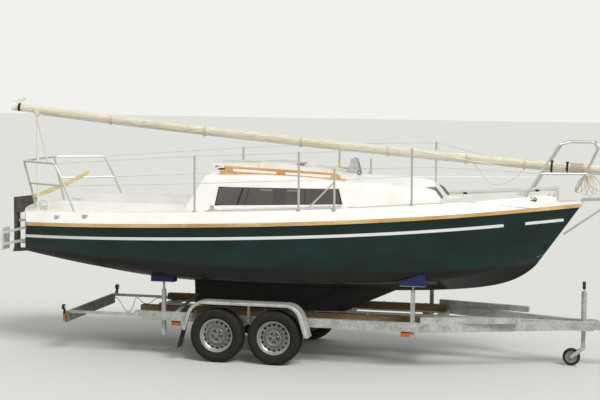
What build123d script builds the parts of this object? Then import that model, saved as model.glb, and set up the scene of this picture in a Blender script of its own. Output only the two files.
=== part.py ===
"""A small cruising sailboat with its mast lowered, standing on its tandem road trailer.

Millimetres, +X towards the bow, +Y to port, +Z up. The origin is on the ground under the
middle of the overall length and width.
"""
from build123d import *
import os

os.makedirs("parts", exist_ok=True)

# Road wheels and axles
AXLES_MID = -820
AXLE_GAP = 670
TYRE_R = 308
TYRE_W = 175
TYRE_BEAD_R = 179.5
WHEEL_Y = 895
RIM_R = 192
RIM_WALL = 4
STUD_HOLES = 16
DRUM_R = 112
SPINDLE_R = 16
SPIN_GAP = 0.05
AXLE_BOX = 76
ARM_THICK = 22
ARM_TRAIL = 130

# Trailer frame
RAIL_OUT = 760
RAIL_W = 60
RAIL_H = 100
RAIL_TOP = 520
RAIL_BACK = -2203
RAIL_BEND = 1260
RAIL_WALL = 5
DRAWBAR_IN = 2760
DRAWBAR_TIP = 3000
DRAWBAR_Y = 100
CROSS_H = 60
CROSS_W = 80
SPINE_W = 80
KEEL_SEAT = 505
UPPER_H = 66
UPPER_W = 50
UPPER_END = 2225
UPPER_END_Y = 470
PLANK_W = 100
PLANK_H = 75
PLANK_Y = 500

# Light board
BOARD_X = -3020
BOARD_HALF = 810
LIGHT_TUBE = 30
LIGHT_Z = 468
TUBE_FIT = 0.3

# Jockey wheel and coupling
JOCKEY_X = 2888
JOCKEY_R = 100
JOCKEY_W = 50
JOCKEY_TRAIL = 129
JOCKEY_TUBE_R = 30
JOCKEY_STEM_R = 24
JOCKEY_TOP = 850

# Hull
SHEER_AFT = (-3820, 1486)
SHEER_MID = (-520, 1612)
SHEER_BOW = (2840, 1828)
TRANSOM_X = -3750
TRANSOM_R = 1525
HULL_WALL = 28
DECK_RISE = 140
DECK_CROWN = 40
STRAKE_H = 40
STRAKE_W = 22

# Stub keel
KEEL_AFT = -1685
KEEL_NOSE_LOW = 130
KEEL_NOSE_TOP = 1010
KEEL_HALF_LOW = 95
KEEL_HALF_TOP = 150
KEEL_TOP = 900

# Bow of the deck
BOW_DECK_END = 2570
BOW_SEAT = 1862

# Coachroof, hatches and cockpit
ROOF_WALL = 24
HATCH_HALF = 300
HATCH_AFT = -1405
HATCH_FWD = -800
HATCH_TOP = 2228
HATCH_THICK = 24
HATCH_RUN_Z = 2172
GARAGE_FWD = 260
COCKPIT_AFT = -3330
COCKPIT_FWD = -1700
COCKPIT_HALF = 560
SEAT_Z = 1500
WELL_HALF = 260
WELL_AFT = -3130
WELL_Z = 1190
COAMING_W = 60
COAMING_TOP = 1760

# Deck rails and mast
TUBE_R = 12.5
WIRE_R = 3
MAST_DEEP = 90
MAST_WIDE = 66
MAST_AFT = (-3880, 2842)
MAST_MID = (30, 2454)
MAST_FWD = (4032, 2165)
MAST_Y_AFT = -267
MAST_Y_FWD = 80


def sheer_arc():
    """Centre and radius, in side view, of the arc through the three sheer points."""
    (x1, z1), (x2, z2), (x3, z3) = SHEER_AFT, SHEER_MID, SHEER_BOW
    d = 2 * (x1 * (z2 - z3) + x2 * (z3 - z1) + x3 * (z1 - z2))
    s1, s2, s3 = x1**2 + z1**2, x2**2 + z2**2, x3**2 + z3**2
    cx = (s1 * (z2 - z3) + s2 * (z3 - z1) + s3 * (z1 - z2)) / d
    cz = (s1 * (x3 - x2) + s2 * (x1 - x3) + s3 * (x2 - x1)) / d
    return cx, cz, ((x1 - cx) ** 2 + (z1 - cz) ** 2) ** 0.5


SHEER_CX, SHEER_CZ, SHEER_R = sheer_arc()


def sheer_z(x):
    """Height of the sheer line above the ground at a station."""
    return SHEER_CZ - (SHEER_R**2 - (x - SHEER_CX) ** 2) ** 0.5


def raked_plane(x_low, z_low, x_top, z_top):
    """A section plane whose own Y runs from the low point up to the top one."""
    rise = Vector(x_top - x_low, 0, z_top - z_low).normalized()
    return Plane(origin=(x_low, 0, z_low), x_dir=(0, 1, 0), z_dir=(rise.Z, 0, -rise.X))


# Hull sections, from the transom to the stem
# x at sheer, half beam, x at keel, z at keel, bilge y, bilge z, bilge radius, deck edge inset
HULL_STATIONS = [
    (-3900, 690, -3930, 1085, 500, 1190, 190, 90),
    (-2920, 970, -2920, 920, 800, 1065, 340, 100),
    (-1920, 1120, -1920, 805, 990, 985, 400, 105),
    (-520, 1185, -520, 765, 1070, 965, 430, 105),
    (680, 1065, 680, 772, 900, 985, 380, 100),
    (1560, 780, 1480, 822, 590, 1050, 280, 90),
    (2240, 420, 1990, 915, 265, 1150, 140, 80),
    (2835, 34, 2345, 1135, 24, 1260, 12, 16),
]


def hull_section(station, wall=0):
    """One closed hull section with its deck on, as a sketch, a wall smaller all round."""
    x_sheer, half, x_keel, z_keel, bilge_y, bilge_z, bilge_r, inset = station
    z_sheer = sheer_z(x_sheer)
    plane = raked_plane(x_keel, z_keel, x_sheer, z_sheer)
    lean = ((x_sheer - x_keel) ** 2 + (z_sheer - z_keel) ** 2) ** 0.5 / (z_sheer - z_keel)
    side = [
        (0, wall),
        (bilge_y - wall * 0.9, (bilge_z - z_keel) * lean + wall * 0.6),
        (half - wall, (z_sheer - z_keel) * lean),
        (half - inset - wall, (z_sheer + DECK_RISE - z_keel) * lean - wall),
        (0, (z_sheer + DECK_RISE + DECK_CROWN - z_keel) * lean - wall),
    ]
    port = [(y, z) for y, z in side]
    starboard = [(-y, z) for y, z in reversed(side[1:-1])]
    with BuildSketch(plane) as section:
        with BuildLine():
            Polyline(*port, *starboard, close=True)
        make_face()
        off_centre = section.vertices().filter_by(lambda v: abs(v.X) > 1)
        fillet(off_centre.sort_by(Axis.Y)[:2], radius=max(bilge_r - wall, 4))
    return section.sketch


def hull_body(stations, wall=0):
    """The closed body of hull and deck through its sections."""
    with BuildPart() as body:
        loft([hull_section(station, wall) for station in stations])
    return body.part


def between(first, second, share):
    """A station a share of the way from one station to the next."""
    return tuple(a + (b - a) * share for a, b in zip(first, second))


def deck_z(x, y):
    """Height of the decked body's top at a point in plan."""
    for aft, fore in zip(HULL_STATIONS, HULL_STATIONS[1:]):
        if aft[0] <= x <= fore[0]:
            _, half, *_, inset = between(aft, fore, (x - aft[0]) / (fore[0] - aft[0]))
    edge = half - inset
    if abs(y) > edge:
        return sheer_z(x) + DECK_RISE * (half - abs(y)) / inset
    return sheer_z(x) + DECK_RISE + DECK_CROWN * (1 - abs(y) / edge)


hull_outer = hull_body(HULL_STATIONS)
INNER_STATIONS = [
    between(HULL_STATIONS[0], HULL_STATIONS[1], 0.2),
    *HULL_STATIONS[1:-1],
    between(HULL_STATIONS[-2], HULL_STATIONS[-1], 0.35),
]
hull_inner = hull_body(INNER_STATIONS, HULL_WALL)

# Everything above the sheer line, as a cutter seen from the side
with BuildPart() as above_sheer:
    with BuildSketch(Plane.XZ):
        with BuildLine():
            sheer = ThreePointArc(SHEER_AFT, SHEER_MID, SHEER_BOW)
            Polyline(sheer @ 1, (3400, sheer_z(3400)), (3400, 2600), (-4400, 2600),
                     (-4400, sheer_z(-4400)), sheer @ 0)
        make_face()
    extrude(amount=1500, both=True)

# Everything aft of the rounded transom
with BuildPart() as aft_of_transom:
    with BuildSketch(Plane.XY.offset(700)):
        with Locations((TRANSOM_X, 0)):
            Rectangle(1200, 3200)
        with Locations((TRANSOM_X + TRANSOM_R, 0)):
            Circle(TRANSOM_R, mode=Mode.SUBTRACT)
    extrude(amount=1600)

# The deck moulding stops short of the stem head, where the bow fitting sits
with BuildPart() as bow_cut:
    with BuildSketch(Plane.XZ):
        with BuildLine():
            Polyline((BOW_DECK_END, BOW_SEAT), (3100, BOW_SEAT + 28), (3100, 2300),
                     (BOW_DECK_END - 60, 2300), close=True)
        make_face()
    extrude(amount=300, both=True)

# Hull: the shell below the sheer line
with BuildPart() as hull:
    add(hull_outer)
    add(hull_inner, mode=Mode.SUBTRACT)
    add(above_sheer.part, mode=Mode.SUBTRACT)
    add(aft_of_transom.part, mode=Mode.SUBTRACT)
hull.part.label = "hull"
export_step(hull.part, "parts/hull.step")

# Stub keel: a ballast fin with a raked nose, let into the hull's bottom
KEEL_PLANFORMS = [
    (KEEL_SEAT, KEEL_NOSE_LOW, KEEL_HALF_LOW),
    (KEEL_TOP, KEEL_NOSE_TOP, KEEL_HALF_TOP),
]
with BuildPart() as keel:
    for z, nose, half in KEEL_PLANFORMS:
        with BuildSketch(Plane.XY.offset(z)):
            with BuildLine():
                Line((KEEL_AFT, -half * 0.6), (KEEL_AFT, half * 0.6))
                ThreePointArc((KEEL_AFT, half * 0.6), (KEEL_AFT + 450, half), (nose - 700, half))
                ThreePointArc((nose - 700, half), (nose - 180, half * 0.62), (nose, 0))
                ThreePointArc((nose, 0), (nose - 180, -half * 0.62), (nose - 700, -half))
                ThreePointArc((nose - 700, -half), (KEEL_AFT + 450, -half), (KEEL_AFT, -half * 0.6))
            make_face()
    loft(ruled=True)
    add(hull_outer, mode=Mode.SUBTRACT)
keel_solid = keel.solids().sort_by(Axis.Z)[0]
with BuildPart() as keel:
    add(keel_solid)
keel.part.label = "keel"
export_step(keel.part, "parts/keel.step")

# Coachroof sections, from the cockpit to the foredeck
# x at base, z at base, x at crown, z at crown, half width at base, at shoulder, z at shoulder
ROOF_STATIONS = [
    (-1650, 1680, -1335, 2188, 705, 600, 2095),
    (-1120, 1690, -1080, 2187, 715, 603, 2101),
    (-500, 1700, -500, 2185, 720, 605, 2105),
    (300, 1740, 300, 2122, 665, 555, 2055),
    (900, 1790, 880, 2098, 565, 460, 2015),
    (1345, 1820, 1160, 2052, 455, 340, 1968),
]
ROOF_SHOULDER_R = 70
ROOF_FOOT = 60


def roof_section(station, wall=0):
    """One closed coachroof section as a sketch on its raked plane, a wall smaller inside."""
    x_base, z_base, x_crown, z_crown, half_base, half_top, z_shoulder = station
    plane = raked_plane(x_base, z_base, x_crown, z_crown)
    lean = ((x_crown - x_base) ** 2 + (z_crown - z_base) ** 2) ** 0.5 / (z_crown - z_base)
    points = [
        (-half_base + wall, -ROOF_FOOT - 2 * wall),
        (half_base - wall, -ROOF_FOOT - 2 * wall),
        (half_top - wall, (z_shoulder - z_base) * lean - wall),
        (0, (z_crown - z_base) * lean - wall),
        (-half_top + wall, (z_shoulder - z_base) * lean - wall),
    ]
    with BuildSketch(plane) as section:
        with BuildLine():
            Polyline(*points, close=True)
        make_face()
        shoulders = section.vertices().filter_by(lambda v: abs(v.X) > 1).sort_by(Axis.Y)[-2:]
        fillet(shoulders, radius=ROOF_SHOULDER_R - wall)
    return section.sketch


with BuildPart() as roof_outer:
    loft([roof_section(station) for station in ROOF_STATIONS])

with BuildPart() as roof_inner:
    first = between(ROOF_STATIONS[0], ROOF_STATIONS[1], ROOF_WALL * 1.3 / 1000)
    last = between(ROOF_STATIONS[-1], ROOF_STATIONS[-2], ROOF_WALL * 1.5 / 400)
    loft([roof_section(station, ROOF_WALL) for station in (first, *ROOF_STATIONS[1:-1], last)])


def side_prism(points, y_from, y_to):
    """A prism through the side of the boat, its outline given in side view."""
    with BuildPart() as prism:
        with BuildSketch(Plane.XZ.offset(-y_to)):
            with BuildLine():
                Polyline(*points, close=True)
            make_face()
        extrude(amount=y_to - y_from)
    return prism.part


def box(x_range, y_range, z_range):
    """A plain block given by its three ranges."""
    (x0, x1), (y0, y1), (z0, z1) = x_range, y_range, z_range
    with BuildPart(Plane(origin=(x0, y0, z0))) as block:
        Box(x1 - x0, y1 - y0, z1 - z0, align=(Align.MIN, Align.MIN, Align.MIN))
    return block.part


SIDE_WINDOW = [(-1262, 1762), (221, 1812), (168, 1982), (-1228, 1974)]
FRONT_WINDOW_Y = (130, 330)
FRONT_WINDOW_Z = (1880, 2005)
COMPANION_HALF = 265
COMPANION_SILL = 1735

window_openings = [side_prism(SIDE_WINDOW, y, y + 500) for y in (-900, 400)]
front_openings = [
    box((1020, 1500), (side * FRONT_WINDOW_Y[0], side * FRONT_WINDOW_Y[1]), FRONT_WINDOW_Z)
    if side > 0 else box((1020, 1500), (-FRONT_WINDOW_Y[1], -FRONT_WINDOW_Y[0]), FRONT_WINDOW_Z)
    for side in (1, -1)
]
companion_opening = box((-1800, -1330), (-COMPANION_HALF, COMPANION_HALF), (COMPANION_SILL, 2140))
hatch_opening = box((-1500, HATCH_FWD - 40), (-COMPANION_HALF, COMPANION_HALF), (2020, 2300))

# Garage that the sliding hatch runs into, moulded with the roof
GARAGE_AFT = HATCH_FWD - 40
GARAGE_TOP = 2246
GARAGE_WALL = 10
HATCH_GAP = 6
HATCH_TRAVEL = 540
with BuildPart() as garage:
    with BuildSketch(Plane.XZ):
        with BuildLine():
            Polyline((GARAGE_AFT, 2060), (GARAGE_AFT, GARAGE_TOP), (-480, GARAGE_TOP - 6),
                     (GARAGE_FWD, 2112), (GARAGE_FWD, 2060), close=True)
        make_face()
    extrude(amount=HATCH_HALF + HATCH_GAP + GARAGE_WALL, both=True)
    garage_room_fwd = HATCH_FWD + HATCH_TRAVEL + 8
    with BuildSketch(Plane.XZ):
        with BuildLine():
            Polyline((GARAGE_AFT - 1, 2000), (GARAGE_AFT - 1, HATCH_TOP + HATCH_GAP),
                     (garage_room_fwd, HATCH_TOP + HATCH_GAP - 8), (garage_room_fwd, 2000), close=True)
        make_face()
    extrude(amount=HATCH_HALF + HATCH_GAP, both=True, mode=Mode.SUBTRACT)
    add(roof_inner.part, mode=Mode.SUBTRACT)

# Deck moulding: side decks, coachroof, hatch garage and runners, cockpit and its coamings
with BuildPart() as cockpit_tub:
    add(box((COCKPIT_AFT - ROOF_WALL, COCKPIT_FWD + ROOF_WALL),
            (-COCKPIT_HALF - ROOF_WALL, COCKPIT_HALF + ROOF_WALL), (SEAT_Z - ROOF_WALL, 1700)))
    add(box((WELL_AFT - ROOF_WALL, COCKPIT_FWD + ROOF_WALL),
            (-WELL_HALF - ROOF_WALL, WELL_HALF + ROOF_WALL), (WELL_Z - ROOF_WALL, SEAT_Z)))
    add(hull_inner, mode=Mode.INTERSECT)

with BuildPart() as cockpit_room:
    add(box((COCKPIT_AFT, COCKPIT_FWD), (-COCKPIT_HALF, COCKPIT_HALF), (SEAT_Z, 1900)))
    add(box((WELL_AFT, COCKPIT_FWD), (-WELL_HALF, WELL_HALF), (WELL_Z, 1900)))

with BuildPart() as deck:
    add(hull_outer)
    add(hull_inner, mode=Mode.SUBTRACT)
    add(above_sheer.part, mode=Mode.INTERSECT)
    add(roof_outer.part)
    add(garage.part)
    for side in (-1, 1):
        y_in = COCKPIT_HALF + 10
        add(box((COCKPIT_AFT, COCKPIT_FWD + 60), (min(side * y_in, side * (y_in + COAMING_W)),
                                                  max(side * y_in, side * (y_in + COAMING_W))),
                (1640, COAMING_TOP)))
        y_run = HATCH_HALF - 9
        add(box((HATCH_AFT + 60, garage_room_fwd), (min(side * (y_run - 7), side * (y_run + 7)),
                                                    max(side * (y_run - 7), side * (y_run + 7))),
                (2080, HATCH_RUN_Z - 0.3)))
    add(roof_inner.part, mode=Mode.SUBTRACT)
    add(cockpit_tub.part)
    add(cockpit_room.part, mode=Mode.SUBTRACT)
    add(aft_of_transom.part, mode=Mode.SUBTRACT)
    add(bow_cut.part, mode=Mode.SUBTRACT)
    for opening in (*window_openings, *front_openings, companion_opening, hatch_opening):
        add(opening, mode=Mode.SUBTRACT)
deck.part.label = "deck"
export_step(deck.part, "parts/deck.step")


def finish(piece, name):
    """Label a finished piece and write it."""
    piece.label = name
    export_step(piece, f"parts/{name}.step")


def rod(points, radius, bend=0):
    """A round bar through a chain of points, its corners bent to a radius."""
    with BuildPart() as bar:
        with BuildLine() as path:
            if bend:
                FilletPolyline(*points, radius=bend)
            else:
                Polyline(*points)
        with BuildSketch(Plane(path.line @ 0, z_dir=path.line % 0)):
            Circle(radius)
        sweep(path=path.line)
    return bar.part


def flat_bar(start, end, width, depth):
    """A straight bar of rectangular section from one point to another."""
    run = Vector(*end) - Vector(*start)
    across = run.cross(Vector(0, 0, 1)).normalized()
    with BuildPart() as bar:
        with BuildSketch(Plane(start, x_dir=across, z_dir=run)):
            Rectangle(width, depth)
        extrude(amount=run.length)
    return bar.part


def mirrored(points):
    """The same chain of points on the other side of the boat."""
    return [(x, -y, z) for x, y, z in points]


# Windows and washboard fill their openings, flush with the moulding
with BuildPart() as roof_shell:
    add(roof_outer.part)
    add(roof_inner.part, mode=Mode.SUBTRACT)
    add(hull_outer, mode=Mode.SUBTRACT)


def pane(opening):
    """What fills one opening, cut from the same wall as the opening itself."""
    with BuildPart() as glass:
        add(roof_shell.part)
        add(opening, mode=Mode.INTERSECT)
    return glass.part.solids().sort_by(SortBy.VOLUME)[-1]


with BuildPart() as side_windows:
    for opening in window_openings:
        add(pane(opening))
finish(side_windows.part, "side_windows")

with BuildPart() as front_windows:
    for opening in front_openings:
        add(pane(opening))
finish(front_windows.part, "front_windows")

with BuildPart() as washboard:
    add(pane(box((-1800, -1330), (-COMPANION_HALF, COMPANION_HALF), (COMPANION_SILL, 2100))))
finish(washboard.part, "washboard")

# Sliding hatch: a lid with skirts that run on the two roof runners
with BuildPart() as hatch:
    add(box((HATCH_AFT, HATCH_FWD), (-HATCH_HALF, HATCH_HALF), (HATCH_TOP - HATCH_THICK, HATCH_TOP)))
    for side in (-1, 1):
        y0, y1 = sorted((side * HATCH_HALF, side * (HATCH_HALF - 18)))
        add(box((HATCH_AFT, HATCH_FWD), (y0, y1), (HATCH_RUN_Z, HATCH_TOP - HATCH_THICK)))
    add(box((HATCH_AFT, HATCH_AFT + 18), (-HATCH_HALF, HATCH_HALF), (HATCH_RUN_Z, HATCH_TOP - HATCH_THICK)))
    slot_x = HATCH_AFT + 30
    add(box((slot_x, slot_x + 90), (-HATCH_HALF - 1, HATCH_HALF + 1), (HATCH_RUN_Z - 1, HATCH_RUN_Z + 20)),
        mode=Mode.SUBTRACT)
    aft_top = hatch.edges().filter_by(Axis.Y).group_by(Axis.Z)[-1].sort_by(Axis.X)[0]
    fillet(aft_top, radius=22)
finish(hatch.part, "companion_hatch")

# Wooden rub strakes along the sheer
STRAKE_STATIONS = [(station[0], station[1]) for station in HULL_STATIONS]


def strake(side):
    """One rub strake through small sections along the sheer, scribed to the hull."""
    with BuildPart() as rail:
        sections = []
        for x, half in STRAKE_STATIONS:
            with BuildSketch(Plane.YZ.offset(x)) as section:
                with Locations((side * (half - 4), sheer_z(x))):
                    Rectangle(2 * STRAKE_W, STRAKE_H)
            sections.append(section.sketch)
        loft(sections)
        add(aft_of_transom.part, mode=Mode.SUBTRACT)
        add(hull.part, mode=Mode.SUBTRACT)
        add(deck.part, mode=Mode.SUBTRACT)
    return rail.part.solids().sort_by(SortBy.VOLUME)[-1]


with BuildPart() as rub_strakes:
    add(strake(-1))
    add(strake(1))
finish(rub_strakes.part, "rub_strakes")

# Handrails on the roof: a base strip, three blocks and a round bar each
HANDRAIL_Y = 505
HANDRAIL_BLOCKS = [(-1150, 120), (-530, 130), (110, 140)]
with BuildPart() as handrails:
    for side in (-1, 1):
        y0, y1 = sorted((side * (HANDRAIL_Y - 20), side * (HANDRAIL_Y + 20)))
        add(side_prism([(-1250, 2050), (-1250, 2152), (230, 2090), (230, 2000)], y0, y1))
        for x, length in HANDRAIL_BLOCKS:
            z = 2150 - (x + 1250) * 0.0419
            add(side_prism([(x - length / 2, z - 10), (x - length / 2 + 30, z + 48),
                            (x + length / 2 - 30, z + 46), (x + length / 2, z - 10)], y0, y1))
        add(rod([(-1200, side * HANDRAIL_Y, 2196), (120, side * HANDRAIL_Y, 2140)], 15))
    add(roof_outer.part, mode=Mode.SUBTRACT)
finish(handrails.part, "handrails")

# Mast: an oval section along its own slight sag, lowered with its head aft
def mast_point(x, z):
    """A point on the mast's centre, which runs from one side of the boat to the other."""
    share = (x - MAST_AFT[0]) / (MAST_FWD[0] - MAST_AFT[0])
    return (x, MAST_Y_AFT + share * (MAST_Y_FWD - MAST_Y_AFT), z)


MAST_ENDS = [mast_point(*MAST_AFT), mast_point(*MAST_MID), mast_point(*MAST_FWD)]


def mast_at(x):
    """Centre of the mast at a station."""
    (x1, _, z1), (x2, _, z2), (x3, _, z3) = MAST_ENDS
    a = (x - x2) * (x - x3) / ((x1 - x2) * (x1 - x3))
    b = (x - x1) * (x - x3) / ((x2 - x1) * (x2 - x3))
    c = (x - x1) * (x - x2) / ((x3 - x1) * (x3 - x2))
    return mast_point(x, a * z1 + b * z2 + c * z3)


def along_mast(x_from, x_to, spans):
    """Points on the mast's centre, evenly spaced from one station to another."""
    return [Vector(*mast_at(x_from + (x_to - x_from) * i / spans)) for i in range(spans + 1)]


MAST_SPANS = 4
MAST_POINTS = along_mast(MAST_AFT[0], MAST_FWD[0], MAST_SPANS)
with BuildPart() as mast:
    sections = []
    for i, point in enumerate(MAST_POINTS):
        run = MAST_POINTS[min(i + 1, MAST_SPANS)] - MAST_POINTS[max(i - 1, 0)]
        with BuildSketch(Plane(point, x_dir=(0.0, 1, 0), z_dir=run)) as section:
            Ellipse(MAST_WIDE / 2, MAST_DEEP / 2)
        sections.append(section.sketch)
    loft(sections, ruled=True)
finish(mast.part, "mast")

# Bow fitting: an aluminium plank past the stem, stayed from the stem below
SPRIT_TIP = 3270
with BuildPart() as bow_fitting:
    add(side_prism([(BOW_DECK_END + 4, BOW_SEAT + 0.3), (BOW_DECK_END + 4, BOW_SEAT + 30),
                    (SPRIT_TIP, BOW_SEAT + 62), (SPRIT_TIP, BOW_SEAT + 32)], -55, 55))
    add(rod([(2640, 0, 1490), (SPRIT_TIP - 60, 0, BOW_SEAT + 40)], 12))
    add(hull_outer, mode=Mode.SUBTRACT)
    sprit = bow_fitting.solids().sort_by(SortBy.VOLUME)[-1]
with BuildPart() as bow_fitting:
    add(sprit)
finish(bow_fitting.part, "bow_fitting")

# Pulpit round the bow
PULPIT_SIDE = [
    (2240, 325, 1900), (2270, 325, 1990), (2590, 230, 2510), (2700, 185, 2541),
    (2960, 140, 2541), (3010, 120, 2480), (2880, 85, 2190), (2775, 45, 1990), (2772, 42, 1870),
]
PULPIT_MID = [(2400, 285, 2186), (2885, 95, 2186)]
MAST_REST_X = 2650
with BuildPart() as pulpit:
    for side in (PULPIT_SIDE, mirrored(PULPIT_SIDE)):
        add(rod(side, TUBE_R, 30))
    for bar in (PULPIT_MID, mirrored(PULPIT_MID)):
        add(rod(bar, TUBE_R))
    add(rod([(2975, -133, 2536), (2975, 133, 2536)], TUBE_R))
    rest_z = mast_at(MAST_REST_X)[2] - MAST_DEEP / 2 - TUBE_R + 1
    add(rod([(MAST_REST_X, -190, 2186), (MAST_REST_X, -150, rest_z), (MAST_REST_X, 150, rest_z),
             (MAST_REST_X, 190, 2186)], TUBE_R))
    for piece in (hull_outer, bow_fitting.part, mast.part):
        add(piece, mode=Mode.SUBTRACT)
    largest = pulpit.solids().sort_by(SortBy.VOLUME)[-1]
with BuildPart() as pulpit:
    add(largest)
finish(pulpit.part, "pulpit")

# Pushpit round the stern
PUSHPIT_RAIL = [
    (-2890, 850, 1620), (-3090, 832, 2070), (-3165, 822, 2205), (-3690, 480, 2205),
    (-3720, 0, 2205), (-3690, -480, 2205), (-3165, -822, 2205), (-3090, -832, 2070), (-2890, -850, 1620),
]
PUSHPIT_LEG = [(-3692, 470, 2200), (-3535, 440, 1600)]
PUSHPIT_LOW = [(-3625, 458, 1945), (-3035, 838, 1948)]
with BuildPart() as pushpit:
    add(rod(PUSHPIT_RAIL, TUBE_R, 60))
    for bar in (PUSHPIT_LEG, PUSHPIT_LOW):
        add(rod(bar, TUBE_R))
        add(rod(mirrored(bar), TUBE_R))
    add(hull_outer, mode=Mode.SUBTRACT)
    largest = pushpit.solids().sort_by(SortBy.VOLUME)[-1]
with BuildPart() as pushpit:
    add(largest)
finish(pushpit.part, "pushpit")

# Stanchions, each on a round foot, the short pair braced
# x, y, z at the top
STANCHIONS = [(-1400, 1010, 2348), (-185, 1050, 2415), (215, 1035, 2238), (1045, 850, 2468)]
BRACE = [(213, 1033, 2090), (-115, 1010, 1760)]
with BuildPart() as stanchions:
    for x, y, top in STANCHIONS:
        for side in (-1, 1):
            add(rod([(x, side * y, 1650), (x, side * y, top)], TUBE_R))
            add(rod([(x, side * y, sheer_z(x) + DECK_RISE - 14), (x, side * y, sheer_z(x) + DECK_RISE + 12)], 32))
    for bar in (BRACE, mirrored(BRACE)):
        add(rod(bar, 9))
    add(hull_outer, mode=Mode.SUBTRACT)
    add(roof_outer.part, mode=Mode.SUBTRACT)
kept = [solid for solid in stanchions.solids() if solid.bounding_box().max.Z > 2000]
with BuildPart() as stanchions:
    for solid in kept:
        add(solid)
finish(stanchions.part, "stanchions")

# Lifelines: two taut wires a side, from the pushpit to the pulpit
UPPER_LINE = [(-3165, 822, 2205), (-1400, 1010, 2338), (-185, 1050, 2405), (1045, 850, 2458), (2400, 285, 2186)]
LOWER_LINE = [(-3035, 838, 1948), (-1400, 1010, 2030), (-185, 1050, 2100), (215, 1035, 2115),
              (1045, 850, 2160), (2370, 292, 2150)]
with BuildPart() as lifelines:
    for line in (UPPER_LINE, mirrored(UPPER_LINE), LOWER_LINE, mirrored(LOWER_LINE)):
        for start, end in zip(line, line[1:]):
            add(rod([start, end], WIRE_R))
    for piece in (stanchions.part, pushpit.part, pulpit.part):
        add(piece, mode=Mode.SUBTRACT)
kept = [solid for solid in lifelines.solids() if solid.volume > 2000]
with BuildPart() as lifelines:
    for solid in kept:
        add(solid)
finish(lifelines.part, "lifelines")

# Mast crutch on the aft deck, beside the tiller
CRUTCH_X = -3607
CRUTCH_Y = -255
with BuildPart() as mast_crutch:
    _, y, z = mast_at(CRUTCH_X)
    add(rod([(CRUTCH_X, CRUTCH_Y, 1600), (CRUTCH_X, CRUTCH_Y, z - 40)], 15))
    add(box((CRUTCH_X - 25, CRUTCH_X + 25), (y - 50, y + 50), (z - 62, z - 5)))
    add(mast.part, mode=Mode.SUBTRACT)
    add(hull_outer, mode=Mode.SUBTRACT)
    largest = mast_crutch.solids().sort_by(SortBy.VOLUME)[-1]
with BuildPart() as mast_crutch:
    add(largest)
finish(mast_crutch.part, "mast_crutch")

# Tabernacle: a grey tapered bracket on the roof with the mast's pivot hole
TABERNACLE_X = 225
PIVOT_R = 8
PIVOT_Z = 2252
with BuildPart() as tabernacle:
    for side in (-1, 1):
        with BuildSketch(Plane.XZ.offset(side * 45)):
            with BuildLine():
                Line((TABERNACLE_X - 80, 2100), (TABERNACLE_X - 80, 2135))
                Line((TABERNACLE_X - 80, 2135), (TABERNACLE_X - 38, 2280))
                ThreePointArc((TABERNACLE_X - 38, 2280), (TABERNACLE_X, 2304), (TABERNACLE_X + 38, 2280))
                Line((TABERNACLE_X + 38, 2280), (TABERNACLE_X + 80, 2135))
                Line((TABERNACLE_X + 80, 2135), (TABERNACLE_X + 80, 2100))
                Line((TABERNACLE_X + 80, 2100), (TABERNACLE_X - 80, 2100))
            make_face()
            with Locations((TABERNACLE_X, PIVOT_Z)):
                Circle(PIVOT_R, mode=Mode.SUBTRACT)
        extrude(amount=4, both=True)
    add(box((TABERNACLE_X - 80, TABERNACLE_X + 80), (-49, 49), (2095, 2135)))
    add(roof_outer.part, mode=Mode.SUBTRACT)
    add(garage.part, mode=Mode.SUBTRACT)
finish(tabernacle.part, "tabernacle")

# Rudder head and stock on a pin through the transom's gudgeons, its blade taken off for the road
RUDDER_X = -3955
RUDDER_PIN_R = 8
CHEEK_Z = (1605, 1735)
GUDGEON_Z = (1180, 1450)
GUDGEON_H = 30
GUDGEON_R = 16
STOCK_AFT = RUDDER_X - 64
STOCK_FWD = RUDDER_X - GUDGEON_R - 5
FOOT_TOP = 1110
with BuildPart() as rudder:
    add(side_prism([(STOCK_AFT, CHEEK_Z[0] - 60), (STOCK_AFT, CHEEK_Z[1] - 5), (RUDDER_X + 205, CHEEK_Z[1] + 30),
                    (RUDDER_X + 205, CHEEK_Z[0] + 70), (RUDDER_X + 30, CHEEK_Z[0] - 60)], -34, 34))
    add(box((STOCK_AFT, STOCK_FWD), (-30, 30), (FOOT_TOP - 5, CHEEK_Z[0] - 55)))
    add(side_prism([(RUDDER_X - 80, 1062), (RUDDER_X - 70, FOOT_TOP), (RUDDER_X + 60, FOOT_TOP),
                    (RUDDER_X + 90, 1075)], -30, 30))
    add(rod([(RUDDER_X, 0, FOOT_TOP - 5), (RUDDER_X, 0, CHEEK_Z[0] - 55)], RUDDER_PIN_R))
    add(side_prism([(RUDDER_X + 2, CHEEK_Z[0] + 62), (RUDDER_X + 2, CHEEK_Z[1] + 10),
                    (RUDDER_X + 230, CHEEK_Z[1] + 60), (RUDDER_X + 230, CHEEK_Z[0] + 95)], -20.3, 20.3),
        mode=Mode.SUBTRACT)
finish(rudder.part, "rudder")

with BuildPart() as tiller:
    with BuildSketch(Plane.XZ):
        with BuildLine():
            ThreePointArc((RUDDER_X + 3, 1712), (RUDDER_X + 350, 1832), (RUDDER_X + 895, 2078))
            Line((RUDDER_X + 895, 2078), (RUDDER_X + 910, 2046))
            ThreePointArc((RUDDER_X + 910, 2046), (RUDDER_X + 360, 1782), (RUDDER_X + 3, 1672))
            Line((RUDDER_X + 3, 1672), (RUDDER_X + 3, 1712))
        make_face()
    extrude(amount=20, both=True)
finish(tiller.part, "tiller")

# Outboard bracket on the transom, to starboard of the rudder
BRACKET_Y = -310
PAD_X = -4030
with BuildPart() as outboard_pad:
    add(box((PAD_X, PAD_X + 28), (BRACKET_Y - 110, BRACKET_Y + 110), (1125, 1390)))
    upright = outboard_pad.edges().filter_by(Axis.X)
    fillet(upright, radius=18)
finish(outboard_pad.part, "outboard_pad")

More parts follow.
